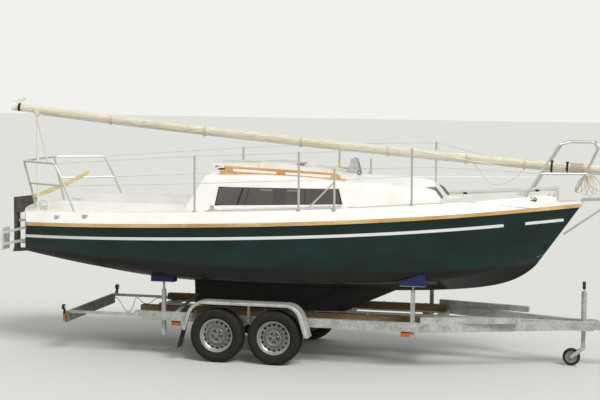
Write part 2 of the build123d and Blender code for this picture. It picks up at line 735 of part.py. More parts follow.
with BuildPart() as outboard_bracket:
    add(box((PAD_X + 28, PAD_X + 34), (BRACKET_Y - 90, BRACKET_Y + 90), (1150, 1365)))
    for z_in, z_out in ((1410, 1330), (1260, 1190)):
        for dy in (-70, 70):
            add(flat_bar((-3690, BRACKET_Y + dy, z_in), (PAD_X + 32.5, BRACKET_Y + dy, z_out), 8, 30))
    add(hull.part, mode=Mode.SUBTRACT)
    largest = outboard_bracket.solids().sort_by(SortBy.VOLUME)[-1]
with BuildPart() as outboard_bracket:
    add(largest)
finish(outboard_bracket.part, "outboard_bracket")

# Gudgeons: two arms out of the transom, each ending in a ring round the rudder's pin
with BuildPart() as gudgeons:
    for z in GUDGEON_Z:
        low, high = z - GUDGEON_H / 2, z + GUDGEON_H / 2
        add(box((RUDDER_X, TRANSOM_X + 12), (-13, 13), (low, high)))
        add(box((TRANSOM_X - 6, TRANSOM_X + 12), (-45, 45), (low - 10, high + 10)))
        add(rod([(RUDDER_X, 0, low), (RUDDER_X, 0, high)], GUDGEON_R))
        add(rod([(RUDDER_X, 0, low - 1), (RUDDER_X, 0, high + 1)], RUDDER_PIN_R + SPIN_GAP), mode=Mode.SUBTRACT)
    add(hull.part, mode=Mode.SUBTRACT)
kept = [solid for solid in gudgeons.solids() if solid.center().X < TRANSOM_X]
with BuildPart() as gudgeons:
    for solid in kept:
        add(solid)
finish(gudgeons.part, "gudgeons")

# Trailer frame: hollow side rails that run on into the drawbar, cross members and keel beam
RAIL_Y = RAIL_OUT - RAIL_W / 2
RAIL_Z = RAIL_TOP - RAIL_H / 2
RAIL_IN = RAIL_OUT - RAIL_W
CROSS_AT = (RAIL_BACK + 50, -1600, 60, RAIL_BEND - CROSS_W)
with BuildPart() as trailer_frame:
    for side in (-1, 1):
        with BuildLine() as rail_path:
            Polyline((RAIL_BACK, side * RAIL_Y, RAIL_Z), (RAIL_BEND, side * RAIL_Y, RAIL_Z),
                     (DRAWBAR_IN, side * DRAWBAR_Y, RAIL_Z), (DRAWBAR_TIP, side * DRAWBAR_Y, RAIL_Z))
        with BuildSketch(Plane(rail_path.line @ 0, x_dir=(0, 1, 0), z_dir=(1, 0, 0))):
            Rectangle(RAIL_W, RAIL_H)
            Rectangle(RAIL_W - 2 * RAIL_WALL, RAIL_H - 2 * RAIL_WALL, mode=Mode.SUBTRACT)
        sweep(path=rail_path.line, transition=Transition.RIGHT)
        y, z_in = side * RAIL_Y, RAIL_H / 2 - RAIL_WALL
        add(box((RAIL_BACK, RAIL_BACK + 60), (y - RAIL_W / 2 + RAIL_WALL, y + RAIL_W / 2 - RAIL_WALL),
                (RAIL_Z - z_in, RAIL_Z + z_in)))
        bore = LIGHT_TUBE / 2 + TUBE_FIT
        add(box((RAIL_BACK - 1, RAIL_BACK + 61), (y - bore, y + bore), (LIGHT_Z - bore, LIGHT_Z + bore)),
            mode=Mode.SUBTRACT)
    for x in CROSS_AT:
        add(box((x, x + CROSS_W), (-RAIL_IN, RAIL_IN), (RAIL_TOP - RAIL_H, RAIL_TOP - RAIL_H + CROSS_H)))
    add(box((CROSS_AT[0], JOCKEY_X - 48), (-SPINE_W / 2, SPINE_W / 2), (KEEL_SEAT - RAIL_H, KEEL_SEAT)))
    for side in (-1, 1):
        add(flat_bar((RAIL_BEND - 120, side * (RAIL_OUT - 40), RAIL_TOP + UPPER_H / 2),
                     (UPPER_END, side * (UPPER_END_Y - 20), RAIL_TOP + UPPER_H / 2), UPPER_W, UPPER_H))
finish(trailer_frame.part, "trailer_frame")

with BuildPart() as planks:
    for side in (-1, 1):
        y0, y1 = sorted((side * (PLANK_Y - PLANK_W / 2), side * (PLANK_Y + PLANK_W / 2)))
        plank_z = RAIL_TOP - RAIL_H + CROSS_H
        add(box((RAIL_BACK, RAIL_BEND), (y0, y1), (plank_z, plank_z + PLANK_H)))
finish(planks.part, "planks")

# Axles: a square tube under the rails, trailing arms, back plates and spindles
AXLE_Z = KEEL_SEAT - RAIL_H - AXLE_BOX / 2
AXLES = {"front": AXLES_MID + AXLE_GAP / 2, "rear": AXLES_MID - AXLE_GAP / 2}
BACKPLATE_Y = 786
for place, wheel_x in AXLES.items():
    beam_x = wheel_x + ARM_TRAIL
    with BuildPart() as axle:
        add(box((beam_x - AXLE_BOX / 2, beam_x + AXLE_BOX / 2), (-RAIL_OUT, RAIL_OUT),
                (AXLE_Z - AXLE_BOX / 2, AXLE_Z + AXLE_BOX / 2)))
        for side in (-1, 1):
            y0, y1 = sorted((side * (RAIL_IN + 2), side * (RAIL_OUT - 2)))
            add(box((beam_x - 60, beam_x + 60), (y0, y1), (AXLE_Z, RAIL_TOP - RAIL_H)))
            arm = side_prism([(beam_x - 45, AXLE_Z + 40), (beam_x + 42, AXLE_Z + 40), (beam_x + 42, AXLE_Z - 40),
                              (wheel_x, TYRE_R - 45), (wheel_x - 45, TYRE_R), (wheel_x, TYRE_R + 45)],
                             *sorted((side * RAIL_OUT, side * (RAIL_OUT + ARM_THICK))))
            add(arm)
            add(rod([(wheel_x, side * RAIL_OUT, TYRE_R), (wheel_x, side * (BACKPLATE_Y + 4), TYRE_R)], DRUM_R + 3))
            add(rod([(wheel_x, side * BACKPLATE_Y, TYRE_R), (wheel_x, side * 905, TYRE_R)], SPINDLE_R))
    finish(axle.part, f"axle_{place}")

# Wheels: a pressed steel rim with its brake drum, and a tyre
HOLE_RING_R = 146
HOLE_R = 9
WHEELS = [(place, x, name, side) for place, x in AXLES.items()
          for name, side in (("starboard", -1), ("port", 1))]
# Offset across the wheel from its middle, radius
RIM_CHAIN = [(-72, 192), (-66, 180), (-42, 178), (-28, 160), (28, 160), (42, 178), (66, 180), (72, 192)]


def rim(wheel_x, side):
    """A rim and drum about the spindle."""
    spin = Plane(origin=(wheel_x, side * WHEEL_Y, TYRE_R), x_dir=(0, side, 0), z_dir=(1, 0, 0))
    axis = Axis((wheel_x, side * WHEEL_Y, TYRE_R), (0, 1, 0))
    inner_chain = [(across, radius - RIM_WALL) for across, radius in reversed(RIM_CHAIN)]
    with BuildPart() as wheel:
        with BuildSketch(spin):
            with BuildLine():
                Polyline(*RIM_CHAIN, *inner_chain, close=True)
            make_face()
        revolve(axis=axis)
        with BuildSketch(spin):
            with BuildLine():
                Polyline((22, SPINDLE_R + SPIN_GAP), (22, 60), (34, 95), (30, 130), (14, 158), (14, 162),
                         (20, 162), (36, 131), (40, 95), (27, 60), (27, SPINDLE_R + SPIN_GAP), close=True)
            make_face()
        revolve(axis=axis)
        with BuildSketch(spin):
            with BuildLine():
                Polyline((-102, SPINDLE_R + SPIN_GAP), (-102, DRUM_R), (-40, DRUM_R), (-30, 62), (22, 62),
                         (22, SPINDLE_R + SPIN_GAP), close=True)
            make_face()
        revolve(axis=axis)
        with BuildSketch(spin):
            with BuildLine():
                Polyline((27, 0), (27, 34), (54, 30), (58, 0), close=True)
            make_face()
        revolve(axis=axis)
        with BuildSketch(Plane(origin=(wheel_x, side * WHEEL_Y, TYRE_R), x_dir=(1, 0, 0), z_dir=(0, side, 0))):
            with PolarLocations(HOLE_RING_R, STUD_HOLES):
                Circle(HOLE_R)
        extrude(amount=60, mode=Mode.SUBTRACT)
    return wheel.part


def tyre(wheel_x, side):
    """A tyre seated on the rim's beads."""
    spin = Plane(origin=(wheel_x, side * WHEEL_Y, TYRE_R), x_dir=(0, side, 0), z_dir=(1, 0, 0))
    half = TYRE_W / 2
    with BuildPart() as ring:
        with BuildSketch(spin):
            with BuildLine():
                Polyline((-60, TYRE_BEAD_R), (60, TYRE_BEAD_R), (half, 245), (half - 6, TYRE_R - 20),
                         (half - 26, TYRE_R), (26 - half, TYRE_R), (6 - half, TYRE_R - 20), (-half, 245),
                         close=True)
            make_face()
        revolve(axis=Axis((wheel_x, side * WHEEL_Y, TYRE_R), (0, 1, 0)))
    return ring.part


for place, wheel_x, name, side in WHEELS:
    finish(rim(wheel_x, side), f"rim_{place}_{name}")
    finish(tyre(wheel_x, side), f"tyre_{place}_{name}")

# Tandem mudguards with rounded shoulders and a deep outer lip, on brackets from the rails
GUARD_IN = 800
GUARD_OUT = 992
GUARD_SHEET = 3
GUARD_TOP = 700
GUARD_LIP = 34
GUARD_CORNER_R = 210
GUARD_SHOULDER_R = 18
GUARD_ENDS = ((-1560, 360), (-82, 330))


def guard_prism(drop, y_from, y_to, shoulder):
    """All that lies under the guard's side outline, lowered by a drop, its outer shoulder rounded."""
    (x0, z0), (x1, z1) = GUARD_ENDS
    top = GUARD_TOP - drop
    with BuildPart() as under:
        with BuildSketch(Plane.XZ.offset(-y_to)):
            with BuildLine():
                outline = FilletPolyline((x0 + drop, z0 - drop), (x0 + 105 + drop, top), (x1 - 110 - drop, top),
                                         (x1 - drop, z1 - drop), radius=GUARD_CORNER_R - drop)
                Line(outline @ 1, outline @ 0)
            make_face()
        extrude(amount=y_to - y_from)
        if shoulder:
            outer_y = y_to if y_to > 0 else y_from
            face = under.faces().filter_by(Axis.Y).sort_by(lambda f: abs(f.center().Y - outer_y))[0]
            rim_edges = face.edges().sort_by(lambda e: e.center().Z)[1:]
            fillet(rim_edges, radius=shoulder)
    return under.part


with BuildPart() as mudguards:
    for side in (-1, 1):
        with BuildPart() as guard:
            add(guard_prism(0, *sorted((side * GUARD_IN, side * GUARD_OUT)), GUARD_SHOULDER_R))
            inner_out = GUARD_OUT - GUARD_SHEET
            add(guard_prism(GUARD_SHEET, *sorted((side * (GUARD_IN - 1), side * inner_out)),
                            GUARD_SHOULDER_R - GUARD_SHEET), mode=Mode.SUBTRACT)
            add(guard_prism(GUARD_LIP, *sorted((side * (inner_out - 1), side * (GUARD_OUT + 1))), 0),
                mode=Mode.SUBTRACT)
            for x in (AXLES_MID - 15, GUARD_ENDS[0][0] + 96, GUARD_ENDS[1][0] - 126):
                z_top = GUARD_TOP - GUARD_SHEET if x == AXLES_MID - 15 else 560
                add(box((x, x + 30), sorted((side * RAIL_OUT, side * (GUARD_IN + 40))), (RAIL_TOP - 60, RAIL_TOP - 52)))
                add(box((x, x + 30), sorted((side * GUARD_IN, side * (GUARD_IN + 4))), (RAIL_TOP - 60, z_top)))
finish(mudguards.part, "mudguards")

with BuildPart() as mud_flaps:
    for side in (-1, 1):
        y0, y1 = sorted((side * (GUARD_IN + 5), side * (GUARD_OUT - 5)))
        x, z = GUARD_ENDS[0]
        add(side_prism([(x + 3.3, z + 10), (x + 8.3, z + 10), (x - 48, z - 215), (x - 54, z - 215)], y0, y1))
    add(mudguards.part, mode=Mode.SUBTRACT)
kept = [solid for solid in mud_flaps.solids() if solid.volume > 50000]
with BuildPart() as mud_flaps:
    for solid in kept:
        add(solid)
finish(mud_flaps.part, "mud_flaps")

# Hull supports: a square post in a sleeve inside the rail, a screw, a plate and a soft pad
POST_Y = RAIL_IN - 28
POST_SIDE = 44
PAD_LONG = 280
PAD_WIDE = 120
# x, z of the post's foot, z of its top, z of the pad's plate
SUPPORTS = [(-1873, 240, 770, 868), (1045, 380, 880, 930)]
with BuildPart() as support_posts:
    for x, foot, top, plate in SUPPORTS:
        for side in (-1, 1):
            y = side * POST_Y
            half = POST_SIDE / 2
            add(box((x - half, x + half), (y - half, y + half), (foot, top)))
            add(box((x - 34, x + 34), sorted((side * RAIL_IN, side * (RAIL_IN - 58))), (RAIL_TOP - 96, RAIL_TOP - 4)))
            add(rod([(x, y, top), (x, y, plate)], 14))
            add(box((x - PAD_LONG / 2, x + PAD_LONG / 2), (y - PAD_WIDE / 2, y + PAD_WIDE / 2), (plate - 5, plate)))
finish(support_posts.part, "support_posts")

with BuildPart() as support_pads:
    for x, foot, top, plate in SUPPORTS:
        for side in (-1, 1):
            y = side * POST_Y
            add(box((x - PAD_LONG / 2, x + PAD_LONG / 2), (y - PAD_WIDE / 2, y + PAD_WIDE / 2), (plate, plate + 130)))
    add(hull_outer, mode=Mode.SUBTRACT)
kept = [solid for solid in support_pads.solids() if solid.center().Z < 1080]
with BuildPart() as support_pads:
    for solid in kept:
        add(solid)
finish(support_pads.part, "support_pads")

# Keel guides: galvanised straps from the rails to the keel's aft corners
with BuildPart() as keel_guides:
    for side in (-1, 1):
        add(flat_bar((-1688, side * (RAIL_IN + 30), RAIL_TOP + 8), (-1640, side * 55, 655), 50, 8))
        add(box((-1713, -1663), sorted((side * (RAIL_IN + 5), side * (RAIL_OUT - 5))), (RAIL_TOP, RAIL_TOP + 9)))
    add(keel.part, mode=Mode.SUBTRACT)
    add(trailer_frame.part, mode=Mode.SUBTRACT)
kept = [solid for solid in keel_guides.solids() if solid.volume > 50000]
with BuildPart() as keel_guides:
    for solid in kept:
        add(solid)
finish(keel_guides.part, "keel_guides")

# Jockey wheel: a clamp tube, a sliding stem, a swivelling fork and the wheel
STEM_TOP = 640
FORK_TOP = 214
with BuildPart() as jockey_tube:
    add(rod([(JOCKEY_X, 0, RAIL_TOP - RAIL_H), (JOCKEY_X, 0, JOCKEY_TOP)], JOCKEY_TUBE_R))
    add(rod([(JOCKEY_X, 0, RAIL_TOP - RAIL_H - 1), (JOCKEY_X, 0, JOCKEY_TOP - 6)], JOCKEY_STEM_R + 0.3),
        mode=Mode.SUBTRACT)
    add(rod([(JOCKEY_X, 0, JOCKEY_TOP - 6), (JOCKEY_X, 0, JOCKEY_TOP + 40)], 10))
    add(rod([(JOCKEY_X, 0, JOCKEY_TOP + 40), (JOCKEY_X + 4, -110, JOCKEY_TOP + 46)], 8))
    add(rod([(JOCKEY_X + 4, -104, JOCKEY_TOP + 40), (JOCKEY_X + 4, -104, JOCKEY_TOP + 125)], 14))
finish(jockey_tube.part, "jockey_tube")

with BuildPart() as jockey_clamp:
    add(box((JOCKEY_X - 48, JOCKEY_X + 44), (-(DRAWBAR_Y - RAIL_W / 2), DRAWBAR_Y - RAIL_W / 2),
            (RAIL_TOP - 80, RAIL_TOP - 8)))
    add(rod([(JOCKEY_X, 0, RAIL_TOP - 90), (JOCKEY_X, 0, RAIL_TOP)], JOCKEY_TUBE_R), mode=Mode.SUBTRACT)
    add(trailer_frame.part, mode=Mode.SUBTRACT)
finish(jockey_clamp.part, "jockey_clamp")

with BuildPart() as jockey_stem:
    add(rod([(JOCKEY_X, 0, FORK_TOP + 0.3), (JOCKEY_X, 0, STEM_TOP)], JOCKEY_STEM_R))
    add(rod([(JOCKEY_X, 0, FORK_TOP - 1), (JOCKEY_X, 0, FORK_TOP + 60)], 10.05), mode=Mode.SUBTRACT)
finish(jockey_stem.part, "jockey_stem")

fork_x = JOCKEY_X - JOCKEY_TRAIL
FORK_PIN_R = 6
with BuildPart() as jockey_fork:
    add(box((fork_x - 20, JOCKEY_X + 26), (-35, 35), (JOCKEY_R * 2 + 6, FORK_TOP)))
    for side in (-1, 1):
        y0, y1 = sorted((side * (JOCKEY_W / 2 + 4), side * 35))
        add(side_prism([(fork_x - 20, JOCKEY_R - 16), (fork_x - 20, FORK_TOP), (JOCKEY_X + 26, FORK_TOP),
                        (JOCKEY_X + 20, FORK_TOP - 30), (fork_x + 22, JOCKEY_R - 16)], y0, y1))
    add(rod([(JOCKEY_X, 0, FORK_TOP), (JOCKEY_X, 0, FORK_TOP + 50)], 10))
    add(rod([(fork_x, -40, JOCKEY_R), (fork_x, 40, JOCKEY_R)], FORK_PIN_R))
finish(jockey_fork.part, "jockey_fork")

with BuildPart() as jockey_wheel:
    with BuildSketch(Plane(origin=(fork_x, 0, JOCKEY_R), x_dir=(0, 1, 0), z_dir=(1, 0, 0))) as tread:
        with Locations((0, FORK_PIN_R + SPIN_GAP)):
            Rectangle(JOCKEY_W, JOCKEY_R - FORK_PIN_R - SPIN_GAP, align=(Align.CENTER, Align.MIN))
        corners = tread.vertices().sort_by(Axis.Y)[-2:]
        chamfer(corners, length=10)
    revolve(axis=Axis((fork_x, 0, JOCKEY_R), (0, 1, 0)))
finish(jockey_wheel.part, "jockey_wheel")

# Overrun coupling between the drawbar ends, and its handbrake lever
HOUSING_END = 3300
BALL_R = 25
BALL_X = 3650
COUPLING_Z = RAIL_Z
with BuildPart() as coupling:
    add(box((JOCKEY_X + 44.3, HOUSING_END), (-(DRAWBAR_Y - RAIL_W / 2), DRAWBAR_Y - RAIL_W / 2),
            (COUPLING_Z - 45, COUPLING_Z + 45)))
    add(rod([(HOUSING_END, 0, COUPLING_Z), (BALL_X - 120, 0, COUPLING_Z)], 25))
    add(side_prism([(BALL_X - 190, COUPLING_Z - 32), (BALL_X - 190, COUPLING_Z + 32), (BALL_X - 60, COUPLING_Z + 40),
                    (BALL_X + 30, COUPLING_Z + 34), (BALL_X + 42, COUPLING_Z - 20), (BALL_X - 40, COUPLING_Z - 28)],
                   -38, 38))
    add(rod([(BALL_X, 0, COUPLING_Z - 40), (BALL_X, 0, COUPLING_Z)], BALL_R + 0.2), mode=Mode.SUBTRACT)
    add(flat_bar((BALL_X - 40, 0, COUPLING_Z + 36), (BALL_X - 210, 0, COUPLING_Z + 82), 30, 12))
    add(trailer_frame.part, mode=Mode.SUBTRACT)
finish(coupling.part, "coupling")

with BuildPart() as bellows:
    with BuildSketch(Plane(origin=(HOUSING_END, 0, COUPLING_Z), x_dir=(1, 0, 0), z_dir=(0, 1, 0))):
        with BuildLine():
            Polyline((0.3, 25.3), (0.3, 44), (20, 36), (40, 44), (60, 36), (80, 44), (100, 36), (120, 40),
                     (120, 25.3), close=True)
        make_face()
    revolve(axis=Axis((HOUSING_END, 0, COUPLING_Z), (1, 0, 0)))
finish(bellows.part, "bellows")

with BuildPart() as handbrake:
    add(flat_bar((3080, 0, COUPLING_Z + 44.8), (3190, 0, 800), 34, 14))
    add(rod([(3175, 0, 765), (3230, 0, 905)], 15))
    add(coupling.part, mode=Mode.SUBTRACT)
finish(handbrake.part, "handbrake_lever")

# Light board on two tubes out of the rails' ends
with BuildPart() as light_tubes:
    for side in (-1, 1):
        y = side * RAIL_Y
        add(box((BOARD_X, RAIL_BACK + 300), (y - LIGHT_TUBE / 2, y + LIGHT_TUBE / 2),
                (LIGHT_Z - LIGHT_TUBE / 2, LIGHT_Z + LIGHT_TUBE / 2)))
finish(light_tubes.part, "light_tubes")

with BuildPart() as light_board:
    add(box((BOARD_X - 4, BOARD_X), (-BOARD_HALF, BOARD_HALF), (352, 472)))
    add(box((BOARD_X - 34, BOARD_X - 4), (-BOARD_HALF, BOARD_HALF), (468, 472)))
    add(box((BOARD_X - 34, BOARD_X - 4), (-BOARD_HALF, BOARD_HALF), (352, 356)))
    for side in (-1, 1):
        add(flat_bar((BOARD_X - 2, side * (BOARD_HALF - 2), 440), (BOARD_X - 2, side * 890, 530), 20, 6))
finish(light_board.part, "light_board")

with BuildPart() as tail_lamps:
    for side in (-1, 1):
        y0, y1 = sorted((side * 560, side * 790))
        add(box((BOARD_X - 58, BOARD_X - 4), (y0, y1), (362, 462)))
        add(rod([(BOARD_X - 20, side * 893, 545), (BOARD_X - 5, side * 893, 545)], 27))
    add(light_board.part, mode=Mode.SUBTRACT)
finish(tail_lamps.part, "tail_lamps")

with BuildPart() as side_markers:
    for x in (-1703, 979):
        for side in (-1, 1):
            y0, y1 = sorted((side * (RAIL_OUT - 28), side * (RAIL_OUT + 4)))
            add(box((x - 52, x + 52), (y0, y1), (RAIL_TOP - RAIL_H - 56, RAIL_TOP - RAIL_H)))
finish(side_markers.part, "side_markers")

# T-handled screws that lock the posts in their sleeves and the light tubes in the rails
KNOB_POINTS = [
    *[(x, side * (RAIL_IN - 58), RAIL_TOP - 50, -side) for x, *_ in SUPPORTS for side in (-1, 1)],
    *[(RAIL_BACK + 30, side * RAIL_IN, LIGHT_Z, -side) for side in (-1, 1)],
]
with BuildPart() as clamp_screws:
    for x, y, z, inward in KNOB_POINTS:
        add(rod([(x, y, z), (x, y + inward * 55, z)], 6))
        add(rod([(x, y + inward * 49, z - 32), (x, y + inward * 49, z + 32)], 6))
finish(clamp_screws.part, "clamp_screws")

# Masthead: an end cap, a dark collar's seat and a crane plate with its sheave pin
CAP_LONG = 42
HEAD_X = MAST_AFT[0]
with BuildPart() as masthead:
    head = mast_at(HEAD_X + 1)
    with BuildSketch(Plane(head, x_dir=(0.0, 1, 0), z_dir=MAST_POINTS[0] - MAST_POINTS[1])):
        Ellipse(MAST_WIDE / 2 + 3, MAST_DEEP / 2 + 3)
    extrude(amount=CAP_LONG)
    head_top = MAST_AFT[1] + MAST_DEEP / 2
    add(side_prism([(HEAD_X - 30, head_top - 25), (HEAD_X - 34, head_top + 18), (HEAD_X + 128, head_top + 70),
                    (HEAD_X + 138, head_top + 56), (HEAD_X + 40, head_top - 18)],
                   head[1] - 3, head[1] + 3))
    add(rod([(HEAD_X + 120, head[1] - 14, head_top + 58), (HEAD_X + 120, head[1] + 14, head_top + 58)], 5))
    add(mast.part, mode=Mode.SUBTRACT)
finish(masthead.part, "masthead")

# Main stays: four wires lashed along the mast's underside
STAY_R = 3
STAY_ROOM = MAST_DEEP / 2 + STAY_R + 1
STAYS = [(-18, 0), (18, 0), (-6, 8), (6, 8)]
STAY_POINTS = along_mast(MAST_AFT[0] + 330, MAST_FWD[0] - 900, 6)
with BuildPart() as stays:
    for dy, dz in STAYS:
        shift = Vector(0, dy, -STAY_ROOM - dz)
        for start, end in zip(STAY_POINTS, STAY_POINTS[1:]):
            add(rod([start + shift, end + shift], STAY_R))
    for piece in (mast.part, mast_crutch.part, pulpit.part):
        add(piece, mode=Mode.SUBTRACT)
finish(stays.part, "stays")

# Pole stowed on the foredeck in two chocks
POLE_R = 22
POLE_AFT = (1350, 215)
POLE_FORE = (2540, 115)
POLE_REST = 6
with BuildPart() as foredeck_pole:
    x0, y0 = POLE_AFT
    x1, y1 = POLE_FORE
    z0, z1 = deck_z(x0, y0) + POLE_R + POLE_REST, deck_z(x1, y1) + POLE_R + POLE_REST + 12
    add(rod([(x0, y0, z0), (x1, y1, z1)], POLE_R))
    for x, y, z, run in ((x0, y0, z0, -1), (x1, y1, z1, 1)):
        add(rod([(x, y, z), (x + run * 45, y, z + run * 2)], POLE_R * 0.55))
finish(foredeck_pole.part, "foredeck_pole")

with BuildPart() as pole_chocks:
    for share in (0.12, 0.82):
        x, y, z = (a + (b - a) * share for a, b in zip((x0, y0, z0), (x1, y1, z1)))
        add(box((x - 20, x + 20), (y - 34, y + 34), (z - POLE_R - 60, z - 4)))
    add(foredeck_pole.part, mode=Mode.SUBTRACT)
    add(hull_outer, mode=Mode.SUBTRACT)
finish(pole_chocks.part, "pole_chocks")


def horn_cleat(x, y, long):
    """A horn cleat set on the deck, its horns fore and aft."""
    z = deck_z(x, y)
    with BuildPart() as cleat:
        add(box((x - long * 0.2, x + long * 0.2), (y - 12, y + 12), (z - 20, z + 6)))
        for dx in (-long * 0.12, long * 0.12):
            add(rod([(x + dx, y, z), (x + dx, y, z + 34)], 6))
        add(rod([(x - long / 2, y, z + 40), (x - long * 0.3, y, z + 34), (x + long * 0.3, y, z + 34),
                 (x + long / 2, y, z + 40)], 7))
    return cleat.part


# Deck hardware: horn cleats, genoa tracks with their cars, a rail over the tiller's foot, vents, strake ends
TRACK_X = (-1290, -180)
TRACK_Y = 965
CLEATS = [(-3420, 560, 170), (2190, 190, 190)]
VENTS = [(-2740, 925), (-3110, 855)]
with BuildPart() as deck_hardware:
    for side in (-1, 1):
        for x, y, long in CLEATS:
            add(horn_cleat(x, side * y, long))
        y0, y1 = side * (TRACK_Y - 13), side * (TRACK_Y + 13)
        z_aft, z_fore = deck_z(TRACK_X[0], TRACK_Y), deck_z(TRACK_X[1], TRACK_Y)
        add(side_prism([(TRACK_X[0], z_aft - 25), (TRACK_X[0], z_aft + 9), (TRACK_X[1], z_fore + 9),
                        (TRACK_X[1], z_fore - 25)], *sorted((y0, y1))))
        car_x = TRACK_X[0] + 80
        car_z = deck_z(car_x, TRACK_Y)
        add(box((car_x - 34, car_x + 34), sorted((side * (TRACK_Y - 20), side * (TRACK_Y + 20))),
                (car_z, car_z + 26)))
        add(rod([(car_x, side * (TRACK_Y - 9), car_z + 44), (car_x, side * (TRACK_Y + 9), car_z + 44)], 24))
        for x, y in VENTS:
            add(rod([(x, side * y, deck_z(x, y) - 20), (x, side * y, deck_z(x, y) + 16)], 38))
    hoop_x, hoop_y = -3500, -330
    hoop_z = deck_z(hoop_x, hoop_y)
    add(rod([(hoop_x - 50, hoop_y, hoop_z - 20), (hoop_x - 50, hoop_y, hoop_z + 70),
             (hoop_x + 50, hoop_y, hoop_z + 70), (hoop_x + 50, hoop_y, hoop_z - 20)], 7, 24))
    add(hull_outer, mode=Mode.SUBTRACT)
finish(deck_hardware.part, "deck_hardware")
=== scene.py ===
# %% [markdown]
# # A small sailboat on its road trailer
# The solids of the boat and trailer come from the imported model, in metres, with +X towards the
# bow and +Z up. Nothing in them is moved here. The cells below give each surface the finish of
# the real one, and add the small things that ride on it, such as lashings, rope and wheel bolts.

# %% The frame
import bpy
import bmesh
import math
from mathutils import Matrix, Vector


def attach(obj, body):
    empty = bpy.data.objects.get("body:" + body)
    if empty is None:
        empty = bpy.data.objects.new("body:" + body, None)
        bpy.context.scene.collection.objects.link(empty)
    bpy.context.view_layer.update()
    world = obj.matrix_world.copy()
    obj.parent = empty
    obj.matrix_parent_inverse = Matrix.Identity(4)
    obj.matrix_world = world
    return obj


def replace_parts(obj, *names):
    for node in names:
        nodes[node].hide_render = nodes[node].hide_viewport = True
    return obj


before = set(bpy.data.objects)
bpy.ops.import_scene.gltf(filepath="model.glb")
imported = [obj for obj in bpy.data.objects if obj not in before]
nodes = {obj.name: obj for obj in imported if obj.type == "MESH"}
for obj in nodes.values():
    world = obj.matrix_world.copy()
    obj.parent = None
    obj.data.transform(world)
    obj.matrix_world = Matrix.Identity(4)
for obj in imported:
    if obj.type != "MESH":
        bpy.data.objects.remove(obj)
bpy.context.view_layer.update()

# %% [markdown]
# ## Helpers for materials
# Colours are written as sRGB hex values, as a paint chart gives them, and one function turns
# them to the linear values that the renderer mixes. A second function adds one node to a
# material with its settings and its links, so each finish below reads as a short recipe.

# %% Colour and node helpers
def linear(code):
    """Linear RGBA from an sRGB hex code."""
    channels = [int(code[i:i + 2], 16) / 255 for i in (1, 3, 5)]
    return [c / 12.92 if c <= 0.04045 else ((c + 0.055) / 1.055) ** 2.4 for c in channels] + [1.0]


def node(tree, kind, links=None, **settings):
    """Adds a node, sets its properties and input values, and links its inputs."""
    made = tree.nodes.new(kind)
    for name, value in settings.items():
        if hasattr(made, name):
            setattr(made, name, value)
        else:
            made.inputs[name.replace("_", " ")].default_value = value
    for name, source in (links or {}).items():
        tree.links.new(source, made.inputs[name])
    return made


def finish(name, base, roughness, metallic=0.0, coat=0.0):
    """A new material with its shader's plain values set, and the tree to build on."""
    made = bpy.data.materials.new(name)
    made.use_nodes = True
    shader = made.node_tree.nodes["Principled BSDF"]
    shader.inputs["Base Color"].default_value = linear(base)
    shader.inputs["Roughness"].default_value = roughness
    shader.inputs["Metallic"].default_value = metallic
    shader.inputs["Coat Weight"].default_value = coat
    shader.inputs["Coat Roughness"].default_value = 0.05
    return made, made.node_tree, shader


def place(tree, scale=(1, 1, 1), rotation=(0, 0, 0)):
    """Object coordinates in metres, stretched and turned for a pattern."""
    where = node(tree, "ShaderNodeTexCoord")
    return node(tree, "ShaderNodeMapping", {"Vector": where.outputs["Object"]},
                Scale=scale, Rotation=rotation).outputs["Vector"]


def ramp(tree, factor, stops, interpolation="LINEAR"):
    """A colour ramp through (position, hex) stops."""
    made = node(tree, "ShaderNodeValToRGB", {"Fac": factor})
    made.color_ramp.interpolation = interpolation
    elements = made.color_ramp.elements
    while len(elements) < len(stops):
        elements.new(0.5)
    for element, (position, code) in zip(elements, stops):
        element.position = position
        element.color = linear(code)
    return made.outputs["Color"]


def maths(tree, operation, a, b=0.0):
    """One arithmetic step on two values or links."""
    made = tree.nodes.new("ShaderNodeMath")
    made.operation = operation
    for socket, value in zip(made.inputs, (a, b)):
        if isinstance(value, (int, float)):
            socket.default_value = value
        else:
            tree.links.new(value, socket)
    return made.outputs[0]


def distance(tree, a, b):
    """The length of a line with these two legs."""
    return maths(tree, "SQRT", maths(tree, "ADD", maths(tree, "MULTIPLY", a, a), maths(tree, "MULTIPLY", b, b)))


def near(tree, value, middle, half):
    """One where a value lies within half of a middle, else zero."""
    return maths(tree, "LESS_THAN", maths(tree, "ABSOLUTE", maths(tree, "SUBTRACT", value, middle)), half)


def mixed(tree, factor, first, second):
    """Mixes two colours, given as links or hex codes."""
    made = node(tree, "ShaderNodeMix", data_type="RGBA")
    for socket, value in ((made.inputs[0], factor), (made.inputs[6], first), (made.inputs[7], second)):
        if isinstance(value, str):
            socket.default_value = linear(value)
        elif isinstance(value, (int, float)):
            socket.default_value = value
        else:
            tree.links.new(value, socket)
    return made.outputs[2]


def bumped(tree, shader, height, distance, strength=0.6):
    """Raises the shading by a height pattern, its depth in metres."""
    made = node(tree, "ShaderNodeBump", {"Height": height}, Distance=distance, Strength=strength)
    tree.links.new(made.outputs["Normal"], shader.inputs["Normal"])


print("helpers ready")

# %% [markdown]
# ## Topsides
# The hull is glass fibre with a dark green gelcoat, polished, with a white cove stripe below
# the sheer and near-black antifouling below the waterline. The stripe follows the sheer's curve,
# so its height is measured from a parabola through the same three points as the hull's edge, and
# the paint line is measured from the ground. One material then holds all three bands.

# %% Hull finish
SHEER = ((-3.82, 1.486), (-0.52, 1.612), (2.84, 1.828))
# the stripe's middle below the sheer and half its height, then each length's middle and half
STRIPE_DROP, STRIPE_HALF = 0.152, 0.017
STRIPE_AFT, STRIPE_FORE = (-0.78, 2.80), (2.445, 0.20)
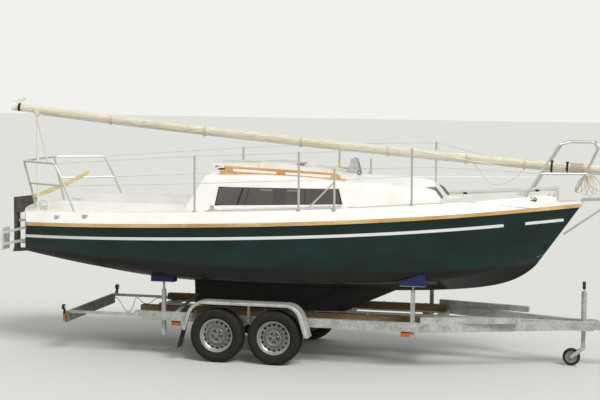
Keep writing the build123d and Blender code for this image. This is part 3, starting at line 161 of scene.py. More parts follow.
# the paint line's height at midships and its rise with the square of the distance from there
PAINT_LINE, PAINT_RISE = 1.105, 0.0075


def parabola(points):
    """Factors a, b, c of z = a + b x + c x x through three points."""
    (x1, z1), (x2, z2), (x3, z3) = points
    c = ((z3 - z1) / (x3 - x1) - (z2 - z1) / (x2 - x1)) / (x3 - x2)
    b = (z2 - z1) / (x2 - x1) - c * (x1 + x2)
    return z1 - b * x1 - c * x1 * x1, b, c


def hull_finish():
    made, tree, shader = finish("gelcoat_topsides", "#0A2725", 0.18, coat=0.35)
    xyz = node(tree, "ShaderNodeSeparateXYZ", {"Vector": place(tree)})
    x, z = xyz.outputs["X"], xyz.outputs["Z"]
    a, b, c = parabola(SHEER)
    sheer = maths(tree, "ADD", a, maths(tree, "MULTIPLY", x, maths(tree, "ADD", b, maths(tree, "MULTIPLY", x, c))))
    below = maths(tree, "SUBTRACT", sheer, z)
    cloud = node(tree, "ShaderNodeTexNoise", {"Vector": place(tree, (0.9, 0.9, 1.6))}, Scale=2.0, Detail=4.0)
    green = ramp(tree, cloud.outputs["Fac"], [(0.3, "#051F1D"), (0.7, "#0A302E")])
    # the stripe, 34 mm high, stops short of a bare place at the bow and goes on near the stem
    high = near(tree, below, STRIPE_DROP, STRIPE_HALF)
    stripe = maths(tree, "MULTIPLY", high, maths(tree, "ADD", near(tree, x, *STRIPE_AFT), near(tree, x, *STRIPE_FORE)))
    striped = mixed(tree, stripe, green, "#E9EBE6")
    # antifouling: its upper edge rises a little towards the bow and the transom
    edge = maths(tree, "ADD", PAINT_LINE, maths(tree, "MULTIPLY", maths(tree, "MULTIPLY", x, x), PAINT_RISE))
    ragged = maths(tree, "MULTIPLY", maths(tree, "SUBTRACT", cloud.outputs["Fac"], 0.5), 0.05)
    depth = maths(tree, "SUBTRACT", maths(tree, "ADD", edge, ragged), z)
    soft = node(tree, "ShaderNodeMapRange", {"Value": depth}, From_Min=-0.03, From_Max=0.03)
    speck = node(tree, "ShaderNodeTexNoise", {"Vector": place(tree)}, Scale=26.0, Detail=6.0, Roughness=0.7)
    paint = ramp(tree, speck.outputs["Fac"], [(0.35, "#100F0D"), (0.65, "#1A1815")])
    outside = mixed(tree, soft.outputs[0], striped, paint)
    # where the skin faces a point high over the keel it is the inside, which has a pale flow coat
    normal = node(tree, "ShaderNodeNewGeometry").outputs["True Normal"]
    reach = node(tree, "ShaderNodeVectorMath", {"Vector": place(tree)}, operation="SUBTRACT")
    reach.inputs[1].default_value = (0.0, 0.0, 2.0)
    facing = node(tree, "ShaderNodeVectorMath", operation="DOT_PRODUCT")
    tree.links.new(reach.outputs["Vector"], facing.inputs[0])
    tree.links.new(normal, facing.inputs[1])
    inner = maths(tree, "LESS_THAN", facing.outputs["Value"], 0.0)
    tree.links.new(mixed(tree, inner, outside, "#D9D5C8"), shader.inputs["Base Color"])
    rough = node(tree, "ShaderNodeMapRange", {"Value": soft.outputs[0]}, To_Min=0.16, To_Max=0.72)
    tree.links.new(rough.outputs[0], shader.inputs["Roughness"])
    bumped(tree, shader, speck.outputs["Fac"], 0.0006, 0.25)
    return made


HULL = hull_finish()
print(HULL.name)

# %% [markdown]
# ## Deck moulding
# The deck, coachroof and cockpit are one glass-fibre moulding in off-white gelcoat. It is a
# little yellowed and chalky, smooth on the sides, and has a moulded non-slip grain on the flats.
# The grain is a fine cell pattern that only acts where the surface faces up.

# %% Deck finish
def deck_finish():
    made, tree, shader = finish("gelcoat_deck", "#EFECE3", 0.32, coat=0.25)
    cloud = node(tree, "ShaderNodeTexNoise", {"Vector": place(tree)}, Scale=3.0, Detail=5.0, Roughness=0.6)
    tree.links.new(ramp(tree, cloud.outputs["Fac"], [(0.3, "#ECE8DF"), (0.65, "#F6F4F0")]),
                   shader.inputs["Base Color"])
    facing = node(tree, "ShaderNodeSeparateXYZ",
                  {"Vector": node(tree, "ShaderNodeNewGeometry").outputs["Normal"]})
    flat = node(tree, "ShaderNodeMapRange", {"Value": facing.outputs["Z"]}, From_Min=0.96, From_Max=0.985)
    grain = node(tree, "ShaderNodeTexVoronoi", {"Vector": place(tree)}, Scale=220.0)
    bumped(tree, shader, maths(tree, "MULTIPLY", grain.outputs["Distance"], flat.outputs[0]), 0.0012, 0.5)
    return made


DECK = deck_finish()
print(DECK.name)

# %% [markdown]
# ## Varnished wood, weathered planks
# The rub strakes, handrails and tiller are oiled hardwood, gone orange-brown, with the grain
# along the boat. The trailer's planks are plain softwood, greyed by rain. Both come from one
# recipe: noise stretched along X, because the boards run fore and aft.

# %% Wood finishes
def wood_finish(name, dark, mid, pale, roughness, coat):
    made, tree, shader = finish(name, mid, roughness, coat=coat)
    grain = node(tree, "ShaderNodeTexNoise", {"Vector": place(tree, (3.0, 60.0, 60.0))}, Scale=3.0, Detail=8.0,
                 Roughness=0.65, Distortion=0.4)
    patches = node(tree, "ShaderNodeTexNoise", {"Vector": place(tree, (1.2, 4.0, 4.0))}, Scale=1.6, Detail=3.0)
    tone = maths(tree, "ADD", maths(tree, "MULTIPLY", grain.outputs["Fac"], 0.6),
                 maths(tree, "MULTIPLY", patches.outputs["Fac"], 0.4))
    tree.links.new(ramp(tree, tone, [(0.34, dark), (0.5, mid), (0.66, pale)]), shader.inputs["Base Color"])
    bumped(tree, shader, grain.outputs["Fac"], 0.0008, 0.4)
    return made


STRAKE_WOOD = wood_finish("oiled_hardwood", "#A87B48", "#CFA86E", "#E6CD9E", 0.42, 0.15)
HANDRAIL_WOOD = wood_finish("oiled_teak", "#B27A40", "#D7A262", "#E9C188", 0.4, 0.15)
TILLER_WOOD = wood_finish("varnished_ash", "#C4B070", "#E0D298", "#EFE5B8", 0.35, 0.3)
PLANK_WOOD = wood_finish("weathered_softwood", "#3D3020", "#66502F", "#8E7C5A", 0.85, 0.0)
print("woods", STRAKE_WOOD.name, TILLER_WOOD.name, PLANK_WOOD.name)

# %% [markdown]
# ## Metals
# Galvanised steel is dull and mottled, because zinc freezes in flakes some 8 mm across.
# The rails on deck are polished stainless tube. The mast is anodised aluminium that has
# weathered to a warm cream. Each metal keeps the shader's default IOR.

# %% Metal finishes
def zinc_finish(name, dark, mid, pale, roughness=0.5):
    made, tree, shader = finish(name, mid, roughness, metallic=0.35)
    flakes = node(tree, "ShaderNodeTexVoronoi", {"Vector": place(tree)}, Scale=120.0)
    tone = node(tree, "ShaderNodeSeparateColor", {"Color": flakes.outputs["Color"]})
    stains = node(tree, "ShaderNodeTexNoise", {"Vector": place(tree)}, Scale=7.0, Detail=6.0, Roughness=0.62)
    blend = maths(tree, "ADD", maths(tree, "MULTIPLY", tone.outputs[0], 0.30),
                  maths(tree, "MULTIPLY", stains.outputs["Fac"], 0.70))
    tree.links.new(ramp(tree, blend, [(0.3, dark), (0.5, mid), (0.72, pale)]), shader.inputs["Base Color"])
    rough = node(tree, "ShaderNodeMapRange", {"Value": stains.outputs["Fac"]}, To_Min=roughness - 0.1,
                 To_Max=roughness + 0.12)
    tree.links.new(rough.outputs[0], shader.inputs["Roughness"])
    bumped(tree, shader, stains.outputs["Fac"], 0.0004, 0.3)
    return made


def brushed_finish(name, dark, pale, roughness, metallic, stretch=(2.0, 90.0, 90.0)):
    made, tree, shader = finish(name, pale, roughness, metallic=metallic)
    lines = node(tree, "ShaderNodeTexNoise", {"Vector": place(tree, stretch)}, Scale=5.0, Detail=5.0)
    tree.links.new(ramp(tree, lines.outputs["Fac"], [(0.35, dark), (0.65, pale)]), shader.inputs["Base Color"])
    bumped(tree, shader, lines.outputs["Fac"], 0.0002, 0.2)
    return made


ZINC = zinc_finish("hot_dip_galvanised_steel", "#9A9A97", "#BBBBB7", "#D6D5D1")
ZINC_GREY = zinc_finish("grey_painted_steel", "#A6A9AB", "#C3C5C6", "#D6D7D7", 0.55)
STEEL = brushed_finish("polished_stainless", "#CBC9C2", "#E6E4DD", 0.28, 0.5)
MAST_METAL = brushed_finish("weathered_anodised_aluminium", "#CDC2AA", "#F0E8D6", 0.45, 0.15, (1.2, 25.0, 25.0))
PLATE = brushed_finish("milled_aluminium", "#CFCFC9", "#E8E7E2", 0.42, 0.25)


# vent holes in a rim, their ring's radius, and how far the painted shade round a hole reaches from its middle
VENTS, VENT_RING, VENT_SHADE_R = 16, 0.146, 0.015
# the point midway between the axles, their distance from it, their height, and the disc's radius
TANDEM_X, AXLE_OFF, AXLE_Z, DISC_R = -0.82, 0.335, 0.308, 0.18


def rim_finish():
    """Silver paint with painted shade in rings, darker in the hollows and lighter on the raised rings, its tone set by
    the distance from the axle.
    """
    made = zinc_finish("silver_painted_rim", "#858682", "#9A9B96", "#AEAFA9", 0.34)
    tree = made.node_tree
    shader = tree.nodes["Principled BSDF"]
    paint = shader.inputs["Base Color"].links[0].from_socket
    xyz = node(tree, "ShaderNodeSeparateXYZ", {"Vector": place(tree)})
    from_middle = maths(tree, "ABSOLUTE", maths(tree, "SUBTRACT", xyz.outputs["X"], TANDEM_X))
    along = maths(tree, "SUBTRACT", from_middle, AXLE_OFF)
    rise = maths(tree, "SUBTRACT", xyz.outputs["Z"], AXLE_Z)
    out = distance(tree, along, rise)
    # painted shade: the paint is darkened in rings by the distance from the axle, least on the raised rings
    dust_and_shade = ramp(tree, maths(tree, "DIVIDE", out, DISC_R),
                [(0.0, "#FFFFFF"), (0.24, "#B4B3AE"), (0.33, "#8C8B86"), (0.40, "#F4F4F0"), (0.50, "#C6C5C0"),
                 (0.62, "#A9A8A2"), (0.72, "#DDDCD7"), (0.84, "#FFFFFF")])
    # painted shade round the nearest of the vent holes, from the distance along their ring and across it
    step = 2 * math.pi / VENTS
    turns = maths(tree, "DIVIDE", maths(tree, "ARCTAN2", rise, along), step)
    arc = maths(tree, "MULTIPLY", maths(tree, "SUBTRACT", turns, maths(tree, "ROUND", turns)), step * VENT_RING)
    away = distance(tree, arc, maths(tree, "SUBTRACT", out, VENT_RING))
    dust_and_shade = mixed(tree, maths(tree, "LESS_THAN", away, VENT_SHADE_R), dust_and_shade, "#2A2A28")
    blend = node(tree, "ShaderNodeMix", data_type="RGBA", blend_type="MULTIPLY")
    blend.inputs[0].default_value = 1.0
    tree.links.new(paint, blend.inputs[6])
    tree.links.new(dust_and_shade, blend.inputs[7])
    tree.links.new(blend.outputs[2], shader.inputs["Base Color"])
    return made


RIM_PAINT = rim_finish()
print("metals", ZINC.name, STEEL.name, MAST_METAL.name)

# %% [markdown]
# ## Rubber, plastic, lenses and glass
# Tyres are a dusty near-black. Keel and pads have brushed paint and moulded rubber. The windows
# are smoked acrylic, dark and glossy, so they are nearly opaque from outside in daylight.

# %% Rubber and plastic finishes
def moulded_finish(name, dark, pale, roughness, scale, depth=0.0005, coat=0.0):
    made, tree, shader = finish(name, pale, roughness, coat=coat)
    dust_and_shade = node(tree, "ShaderNodeTexNoise", {"Vector": place(tree)}, Scale=scale, Detail=6.0, Roughness=0.65)
    tree.links.new(ramp(tree, dust_and_shade.outputs["Fac"], [(0.35, dark), (0.68, pale)]), shader.inputs["Base Color"])
    bumped(tree, shader, dust_and_shade.outputs["Fac"], depth, 0.3)
    return made


TYRE_RUBBER = moulded_finish("tyre_rubber", "#141413", "#23221E", 0.85, 14.0)
BLACK_RUBBER = moulded_finish("black_rubber", "#17171A", "#26262A", 0.7, 40.0)
PAD_BLUE = moulded_finish("blue_pad_rubber", "#161A4A", "#232A66", 0.68, 30.0)
BLACK_PLASTIC = moulded_finish("black_plastic", "#1A1B1D", "#2A2B2E", 0.5, 60.0)
WHITE_PLASTIC = moulded_finish("white_board_plastic", "#D9D8D2", "#ECEBE6", 0.5, 9.0)
BOARD_GREY = moulded_finish("grey_board", "#66685A", "#83857A", 0.6, 9.0)
RUDDER_PAINT = moulded_finish("dark_rudder_paint", "#46413A", "#645D52", 0.5, 18.0)
KEEL_PAINT = moulded_finish("antifouled_casting", "#1C1B1B", "#2A2726", 0.75, 12.0, 0.0015)
AMBER_LENS = moulded_finish("amber_lens", "#B04A10", "#D56A1C", 0.2, 30.0, 0.0002, 0.6)
ROPE_CREAM = moulded_finish("laid_rope", "#BDAF93", "#E3D8C0", 0.8, 60.0)
LASHING = moulded_finish("black_webbing", "#141416", "#232327", 0.8, 90.0)
print("plastics ready")

# %% [markdown]
# ## Smoked windows and lamp lenses
# Two finishes change along the object. Through the smoked side windows a dark bulkhead shows, and
# two pale strips of light from the far side. The tail lamps have a clear, a red and an amber field
# side by side on a black body, with fine ribs across the lens, and the marker lamps are red.

# %% Window and lamp finishes
def smoked_finish():
    made, tree, shader = finish("smoked_acrylic", "#4D4642", 0.08, coat=0.4)
    shade = node(tree, "ShaderNodeTexNoise", {"Vector": place(tree)}, Scale=1.3, Detail=4.0)
    smoke = ramp(tree, shade.outputs["Fac"], [(0.35, "#48423E"), (0.68, "#5E5651")])
    xyz = node(tree, "ShaderNodeSeparateXYZ", {"Vector": place(tree)})
    x, z = xyz.outputs["X"], xyz.outputs["Z"]
    # a dark bulkhead in the middle, and daylight through the far windows as two pale strips
    strips = maths(tree, "MULTIPLY", near(tree, z, 1.951, 0.007),
                   maths(tree, "ADD", near(tree, x, -0.665, 0.070), near(tree, x, -0.345, 0.075)))
    inside = mixed(tree, near(tree, x, -0.508, 0.072), smoke, "#474343")
    tree.links.new(mixed(tree, strips, inside, "#8D8376"), shader.inputs["Base Color"])
    return made


def lamp_finish():
    made, tree, shader = finish("ribbed_lamp_lens", "#A81C15", 0.2, coat=0.6)
    xyz = node(tree, "ShaderNodeSeparateXYZ", {"Vector": place(tree)})
    out = maths(tree, "ABSOLUTE", xyz.outputs["Y"])
    # clear to 0.62 m from the middle, red to 0.72 m, amber to 0.80 m, and red again on the markers
    fields = ramp(tree, out, [(0.0, "#C4C4BF"), (0.62, "#A01912"), (0.72, "#CC6419"), (0.80, "#A01912")], "CONSTANT")
    body = maths(tree, "MULTIPLY", maths(tree, "GREATER_THAN", xyz.outputs["X"], -3.045),
                 maths(tree, "LESS_THAN", out, 0.80))
    tree.links.new(mixed(tree, body, fields, "#1A1B1D"), shader.inputs["Base Color"])
    ribs = maths(tree, "SINE", maths(tree, "MULTIPLY", xyz.outputs["Z"], math.tau / 0.009))
    bumped(tree, shader, ribs, 0.0008, 0.5)
    return made


SMOKED = smoked_finish()
RED_LENS = lamp_finish()
print(SMOKED.name, RED_LENS.name)

# %% Finishes on the solids
FINISHES = {
    HULL: ["hull"], DECK: ["deck", "companion_hatch"], KEEL_PAINT: ["keel"],
    SMOKED: ["side_windows", "front_windows"],
    STRAKE_WOOD: ["rub_strakes"], HANDRAIL_WOOD: ["handrails", "washboard"], TILLER_WOOD: ["tiller"],
    PLANK_WOOD: ["planks"], MAST_METAL: ["mast"], PLATE: ["outboard_bracket"],
    BOARD_GREY: ["light_board"], RUDDER_PAINT: ["rudder"],
    STEEL: ["bow_fitting", "pulpit", "pushpit", "stanchions", "lifelines", "gudgeons", "stays", "deck_hardware"],
    ZINC: ["trailer_frame", "axle_front", "axle_rear", "mudguards", "support_posts", "keel_guides", "jockey_tube",
           "jockey_clamp", "jockey_stem", "jockey_fork", "coupling", "light_tubes", "clamp_screws"],
    ZINC_GREY: ["tabernacle", "handbrake_lever"], PAD_BLUE: ["support_pads"],
    BLACK_RUBBER: ["mud_flaps", "bellows", "jockey_wheel"], BLACK_PLASTIC: ["pole_chocks"],
    WHITE_PLASTIC: ["outboard_pad", "masthead", "foredeck_pole", "mast_crutch"],
    RED_LENS: ["tail_lamps"], AMBER_LENS: ["side_markers"],
    RIM_PAINT: [name for name in nodes if name.startswith("rim_")],
    TYRE_RUBBER: [name for name in nodes if name.startswith("tyre_")],
}
for material, names in FINISHES.items():
    for name in names:
        nodes[name].data.materials.clear()
        nodes[name].data.materials.append(material)
print("finished", sum(len(names) for names in FINISHES.values()), "solids")

# %% [markdown]
# ## Helpers for pieces
# Every added piece but the ropes ends as a plain mesh whose points hold its place, rides on a body by name and takes
# one of the finishes above. A ray cast onto a solid finds where a fitting sits, so a bolt or a cleat lies on the real
# surface, whatever the deck's camber or the hull's flare is there.

# %% Piece helpers
def built(name, build):
    """Turns a bmesh into a mesh with its faces outward."""
    bmesh.ops.recalc_face_normals(build, faces=build.faces)
    mesh = bpy.data.meshes.new(name)
    build.to_mesh(mesh)
    build.free()
    return mesh


def settle(name, mesh, material, body="boat_and_trailer", sharp=35):
    """Links a finished mesh, or a bmesh, as a piece that rides on a body."""
    if isinstance(mesh, bmesh.types.BMesh):
        mesh = built(name, mesh)
    mesh.materials.clear()
    mesh.materials.append(material)
    mesh.shade_smooth()
    mesh.set_sharp_from_angle(angle=math.radians(sharp))
    piece = bpy.data.objects.new(name, mesh)
    bpy.context.scene.collection.objects.link(piece)
    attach(piece, body)
    print(name, len(mesh.polygons), "faces")
    return piece


def bridged(build, rings, closed=False):
    """Joins each ring of points to the next with faces, and the last to the first where closed."""
    for ring, following in zip(rings, rings[1:] + rings[:1] if closed else rings[1:]):
        for j in range(len(ring)):
            k = (j + 1) % len(ring)
            build.faces.new((ring[j], ring[k], following[k], following[j]))
    if not closed:
        build.faces.new(rings[0])
        build.faces.new(rings[-1])


def surface(solid, start, direction):
    """Where a ray from a point first meets a solid, and the way that surface faces."""
    hit, point, facing, _ = nodes[solid].ray_cast(Vector(start), Vector(direction).normalized())
    if not hit:
        raise ValueError(f"no surface of {solid} along the ray from {tuple(start)}")
    return point, facing


def deck_at(x, y):
    """A point on the deck, from above."""
    return surface("deck", (x, y, 3.0), (0, 0, -1))[0]


SAG = parabola(((-3.880, 2.842), (0.030, 2.454), (4.032, 2.165)))


def mast_at(x):
    """The middle of the mast at a station, on the mast solid's own curve."""
    return Vector((x, -0.267 + (x + 3.880) / 7.912 * 0.347, SAG[0] + SAG[1] * x + SAG[2] * x * x))


def swept(build, path, outline, closed=False):
    """Adds a bar along a path: the outline is (sideways, upward) pairs about the path."""
    rings = []
    last = len(path) - 1
    for i, point in enumerate(path):
        if closed:
            before, after = path[i - 1], path[(i + 1) % len(path)]
        else:
            before, after = path[max(i - 1, 0)], path[min(i + 1, last)]
        run = (Vector(after) - Vector(before)).normalized()
        aside = run.cross(Vector((0, 0, 1)))
        aside = aside.normalized() if aside.length > 1e-4 else Vector((0, 1, 0))
        rise = aside.cross(run)
        rings.append([build.verts.new(Vector(point) + aside * a + rise * r) for a, r in outline])
    bridged(build, rings, closed)


def round_outline(radius, sides=10):
    turns = [math.tau * i / sides for i in range(sides)]
    return [(radius * math.cos(turn), radius * math.sin(turn)) for turn in turns]


print("piece helpers ready, mast at the bow rail", [round(v, 3) for v in mast_at(2.65)])

# %% [markdown]
# ## Running a node tree
# A Geometry Nodes tree is a recipe: it takes sizes by name and gives a shape. This helper puts the tree on a carrier
# mesh, sets its sizes by each socket's identifier, evaluates it once and keeps the result as a plain mesh, which is
# simple to move. The export needs plain meshes, and they are also simple to move.

# %% Node tree helpers
def new_tree(name, sizes):
    """An empty tree with a geometry input and output and one float or whole number for each size."""
    tree = bpy.data.node_groups.new(name, "GeometryNodeTree")
    tree.interface.new_socket("Geometry", in_out="OUTPUT", socket_type="NodeSocketGeometry")
    tree.interface.new_socket("Geometry", in_out="INPUT", socket_type="NodeSocketGeometry")
    for size, value in sizes.items():
        kind = "NodeSocketInt" if isinstance(value, int) else "NodeSocketFloat"
        tree.interface.new_socket(size, in_out="INPUT", socket_type=kind).default_value = value
    return tree, node(tree, "NodeGroupInput"), node(tree, "NodeGroupOutput")


def grown(name, tree, sizes, carrier=None):
    """Runs a tree on a carrier mesh and gives the result as a plain mesh."""
    holder = bpy.data.objects.new(name, carrier or bpy.data.meshes.new(name + "_carrier"))
    bpy.context.scene.collection.objects.link(holder)
    live = holder.modifiers.new("recipe", "NODES")
    live.node_group = tree
    sockets = {item.name: item.identifier for item in tree.interface.items_tree if item.in_out == "INPUT"}
    for size, value in sizes.items():
        live[sockets[size]] = value
    made = bpy.data.meshes.new_from_object(holder.evaluated_get(bpy.context.evaluated_depsgraph_get()))
    holder.modifiers.remove(live)
    bpy.data.objects.remove(holder)
    return made


print("tree helpers ready")

# %% [markdown]
# ## Tyres
# A road tyre is a smooth rubber casing with five ribs of tread blocks round it. The casing is a
# profile turned about the axle. The blocks repeat, so a node tree makes one block, puts it at even
# steps round a circle for each rib, and turns each to face outward.

# %% Tyre casing
TYRE_R, WHEEL_Y = 0.308, 0.895
CASING = [(-60, 180), (-67, 192), (-76, 208), (-79, 210), (-80, 213), (-84, 230), (-87, 247), (-87, 258), (-85, 270),
          (-82, 280), (-78, 289), (-71, 297), (-62, 301), (-30, 302), (30, 302), (62, 301), (71, 297), (78, 289),
          (82, 280), (85, 270), (87, 258), (87, 247), (84, 230), (80, 213), (79, 210), (76, 208), (67, 192), (60, 180)]


def lathe(profile, steps):
    """A ring about the Y axis from (across, radius) pairs in millimetres."""
    build = bmesh.new()
    rings = []
    for i in range(steps):
        turn = math.tau * i / steps
        rings.append([build.verts.new((r / 1000 * math.cos(turn), a / 1000, r / 1000 * math.sin(turn)))
                      for a, r in profile])
    bridged(build, rings, closed=True)
    return build


def tread_tree():
    """Blocks on a circle about Y: each rib has its place across, its width and its own stagger."""
    tree, inputs, outputs = new_tree("tyre_tread", {"Blocks Round": 58, "Outer Radius": 0.3077, "Block Depth": 0.008,
                                                    "Block Length": 0.026})
    ring = node(tree, "GeometryNodeMeshCircle", {"Vertices": inputs.outputs["Blocks Round"],
                                                 "Radius": inputs.outputs["Outer Radius"]})
    spot = node(tree, "ShaderNodeSeparateXYZ", {"Vector": node(tree, "GeometryNodeInputPosition").outputs[0]})
    turn = maths(tree, "ARCTAN2", spot.outputs["Y"], spot.outputs["X"])
    facing = node(tree, "ShaderNodeCombineXYZ", {"Z": turn})
    inward = maths(tree, "MULTIPLY", inputs.outputs["Block Depth"], -0.5)
    gather = node(tree, "GeometryNodeJoinGeometry")
    # across the tread, width, share of a block's step by which the rib is staggered, drop
    for across, width, stagger, drop in ((0.0, 0.018, 0.0, 0.0), (0.0235, 0.019, 0.5, 0.0), (-0.0235, 0.019, 0.5, 0.0),
                                         (0.0475, 0.020, 0.2, 0.0012), (-0.0475, 0.020, 0.8, 0.0012),
                                         (0.066, 0.011, 0.7, 0.0085), (-0.066, 0.011, 0.3, 0.0085)):
        size = node(tree, "ShaderNodeCombineXYZ", {"X": inputs.outputs["Block Depth"],
                                                   "Y": inputs.outputs["Block Length"]}, Z=width)
        block = node(tree, "GeometryNodeMeshCube", {"Size": size.outputs[0]})
        sunk = node(tree, "ShaderNodeCombineXYZ", {"X": maths(tree, "SUBTRACT", inward, drop)})
        lowered = node(tree, "GeometryNodeTransform", {"Geometry": block.outputs["Mesh"],
                                                       "Translation": sunk.outputs[0]})
        blocks = node(tree, "GeometryNodeInstanceOnPoints", {"Points": ring.outputs["Mesh"],
                                                             "Instance": lowered.outputs[0],
                                                             "Rotation": facing.outputs[0]})
        step = maths(tree, "DIVIDE", math.tau * stagger, inputs.outputs["Blocks Round"])
        shift = node(tree, "ShaderNodeCombineXYZ", {"Z": step})
        turned = node(tree, "GeometryNodeTransform", {"Geometry": blocks.outputs[0], "Rotation": shift.outputs[0]},
                      Translation=(0, 0, across))
        tree.links.new(turned.outputs[0], gather.inputs[0])
    upright = node(tree, "GeometryNodeTransform", {"Geometry": gather.outputs[0]}, Rotation=(math.pi / 2, 0, 0))
    plain = node(tree, "GeometryNodeRealizeInstances", {"Geometry": upright.outputs[0]})
    painted = node(tree, "GeometryNodeSetMaterial", {"Geometry": plain.outputs[0]}, Material=TYRE_RUBBER)
    tree.links.new(painted.outputs[0], outputs.inputs[0])
    return tree


TREAD = tread_tree()
WHEELS = [(f"{place}_{side}", x, y) for place, x in (("front", -0.485), ("rear", -1.155))
          for side, y in (("port", WHEEL_Y), ("starboard", -WHEEL_Y))]
for name, x, y in WHEELS:
    whole = lathe(CASING, 96)
    whole.from_mesh(grown("tread", TREAD, {"Blocks Round": 58}))
    mesh = built("tyre_casing_" + name, whole)
    mesh.transform(Matrix.Translation((x, y, TYRE_R)))
    tyre = settle("tyre_casing_" + name, mesh, TYRE_RUBBER, "wheel_" + name)
    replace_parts(tyre, "tyre_" + name)

# %% [markdown]
# ## Bolts
# A bolt head is a washer, a hexagon and the stub of a stud. One tree makes it and puts it on every
# point of a carrier mesh, turned along the direction that the point carries. The same tree serves
# the wheel bolts, the frame's bolts and the small screws on deck, each with its own size.

# %% Bolt tree
def bolt_tree(metal):
    tree, inputs, outputs = new_tree("bolt_heads", {"Across Flats": 0.017, "Height": 0.008})
    half = maths(tree, "MULTIPLY", inputs.outputs["Across Flats"], 0.577)
    gather = node(tree, "GeometryNodeJoinGeometry")
    for corners, wide, low, high in ((16, 1.25, -0.2, 0.22), (6, 1.0, 0.2, 1.0), (10, 0.45, 1.0, 1.5)):
        tall = maths(tree, "MULTIPLY", inputs.outputs["Height"], high - low)
        body = node(tree, "GeometryNodeMeshCylinder", {"Radius": maths(tree, "MULTIPLY", half, wide), "Depth": tall},
                    Vertices=corners)
        lift = node(tree, "ShaderNodeCombineXYZ",
                    {"Z": maths(tree, "MULTIPLY", inputs.outputs["Height"], (low + high) / 2)})
        raised = node(tree, "GeometryNodeTransform", {"Geometry": body.outputs["Mesh"], "Translation": lift.outputs[0]})
        tree.links.new(raised.outputs[0], gather.inputs[0])
    aim = node(tree, "GeometryNodeInputNamedAttribute", data_type="FLOAT_VECTOR", Name="aim")
    turn = node(tree, "FunctionNodeAlignRotationToVector", {"Vector": aim.outputs[0]}, axis="Z")
    heads = node(tree, "GeometryNodeInstanceOnPoints", {"Points": inputs.outputs["Geometry"],
                                                        "Instance": gather.outputs[0], "Rotation": turn.outputs[0]})
    plain = node(tree, "GeometryNodeRealizeInstances", {"Geometry": heads.outputs[0]})
    painted = node(tree, "GeometryNodeSetMaterial", {"Geometry": plain.outputs[0]}, Material=metal)
    tree.links.new(painted.outputs[0], outputs.inputs[0])
    return tree


ZINC_BOLTS = bolt_tree(ZINC)
STEEL_SCREWS = bolt_tree(STEEL)


def bolted(name, spots, tree, metal, across, height, body="boat_and_trailer"):
    """Bolt heads on (point, direction) spots, as one piece."""
    carrier = bpy.data.meshes.new(name + "_points")
    carrier.from_pydata([tuple(point) for point, _ in spots], [], [])
    aim = carrier.attributes.new("aim", "FLOAT_VECTOR", "POINT")
    for i, (_, direction) in enumerate(spots):
        aim.data[i].vector = Vector(direction).normalized()
    return settle(name, grown(name, tree, {"Across Flats": across, "Height": height}, carrier), metal, body)


# the bolts' circle, and the disc's face outward of the wheel's middle
BOLT_RING, DISC_OUT = 0.050, 0.027
for name, x, y in WHEELS:
    side = 1 if y > 0 else -1
    turns = [math.tau * i / 5 + 0.3 for i in range(5)]
    ring = [((x + BOLT_RING * math.cos(turn), y + side * DISC_OUT, TYRE_R + BOLT_RING * math.sin(turn)), (0, side, 0))
            for turn in turns]
    bolted("wheel_bolts_" + name, ring, ZINC_BOLTS, ZINC, 0.017, 0.012, "wheel_" + name)
    # the pressed ring round the bolts and the cap over the bearing, from (outward, radius) in millimetres
    boss = lathe([(-2, 58), (5, 61), (8, 66), (8, 71), (3, 77), (-2, 79)], 72)
    cap = lathe([(-2, 31), (11, 30.5), (17, 27), (20, 20), (21, 8), (21, 0.6), (-2, 0.6)], 40)
    part = bpy.data.meshes.new("cap")
    cap.to_mesh(part)
    cap.free()
    boss.from_mesh(part)
    bpy.data.meshes.remove(part)
    mesh = built("wheel_boss_" + name, boss)
    mesh.transform(Matrix.Translation((x, y + side * DISC_OUT, TYRE_R)) @ Matrix.Scale(side, 4, (0, 1, 0)))
    if side < 0:
        mesh.flip_normals()
    settle("wheel_boss_" + name, mesh, RIM_PAINT, "wheel_" + name)

# %% [markdown]
# ## Mast dressing
# The lowered mast wears a black band near its head and two black straps that hold it to the bow
# rail. Each is an oval sleeve a little larger than the mast. Forward of the rail the halyards are
# wound round the mast, which is one long turn of rope after another, so it is a helix.

# %% Bands, straps and the wound halyard
MAST_HALF_WIDE, MAST_HALF_DEEP = 0.033, 0.045


def mast_frame(x):
    """The mast's middle, its sideways and upward directions, and its run."""
    run = (mast_at(x + 0.01) - mast_at(x - 0.01)).normalized()
    aside = run.cross(Vector((0, 0, 1))).normalized()
    return mast_at(x), aside, aside.cross(run), run


def oval_sleeve(build, x, wide, room, thick, drop=0.0, steps=40):
    """A band round the mast: wide along it, thick outward, and longer below by drop."""
    middle, aside, rise, run = mast_frame(x)
    rings = []
    for i in range(steps):
        turn = math.tau * i / steps
        low = drop * max(0.0, -math.sin(turn)) ** 2
        ring = []
        for along, out in ((-0.5, 0.0), (0.5, 0.0), (0.42, 1.0), (-0.42, 1.0)):
            far = room + thick * out
            ring.append(build.verts.new(middle + run * along * wide + aside * (MAST_HALF_WIDE + far) * math.cos(turn)
                                        + rise * ((MAST_HALF_DEEP + far) * math.sin(turn) - low)))
        rings.append(ring)
    bridged(build, rings, closed=True)


band = bmesh.new()
oval_sleeve(band, -3.832, 0.034, 0.0005, 0.002)
settle("mast_head_band", band, BLACK_PLASTIC)

straps = bmesh.new()
for x in (2.492, 2.664):
    oval_sleeve(straps, x, 0.024, 0.001, 0.0035, drop=0.028)
for x in (2.492, 2.664):
    middle, aside, rise, run = mast_frame(x)
    top = middle + rise * (MAST_HALF_DEEP + 0.008)
    swept(straps, [top - aside * 0.02 - run * 0.001, top + aside * 0.02 - run * 0.001],
          [(-0.018, -0.005), (0.018, -0.005), (0.015, 0.006), (-0.015, 0.006)])
settle("mast_straps", straps, LASHING)

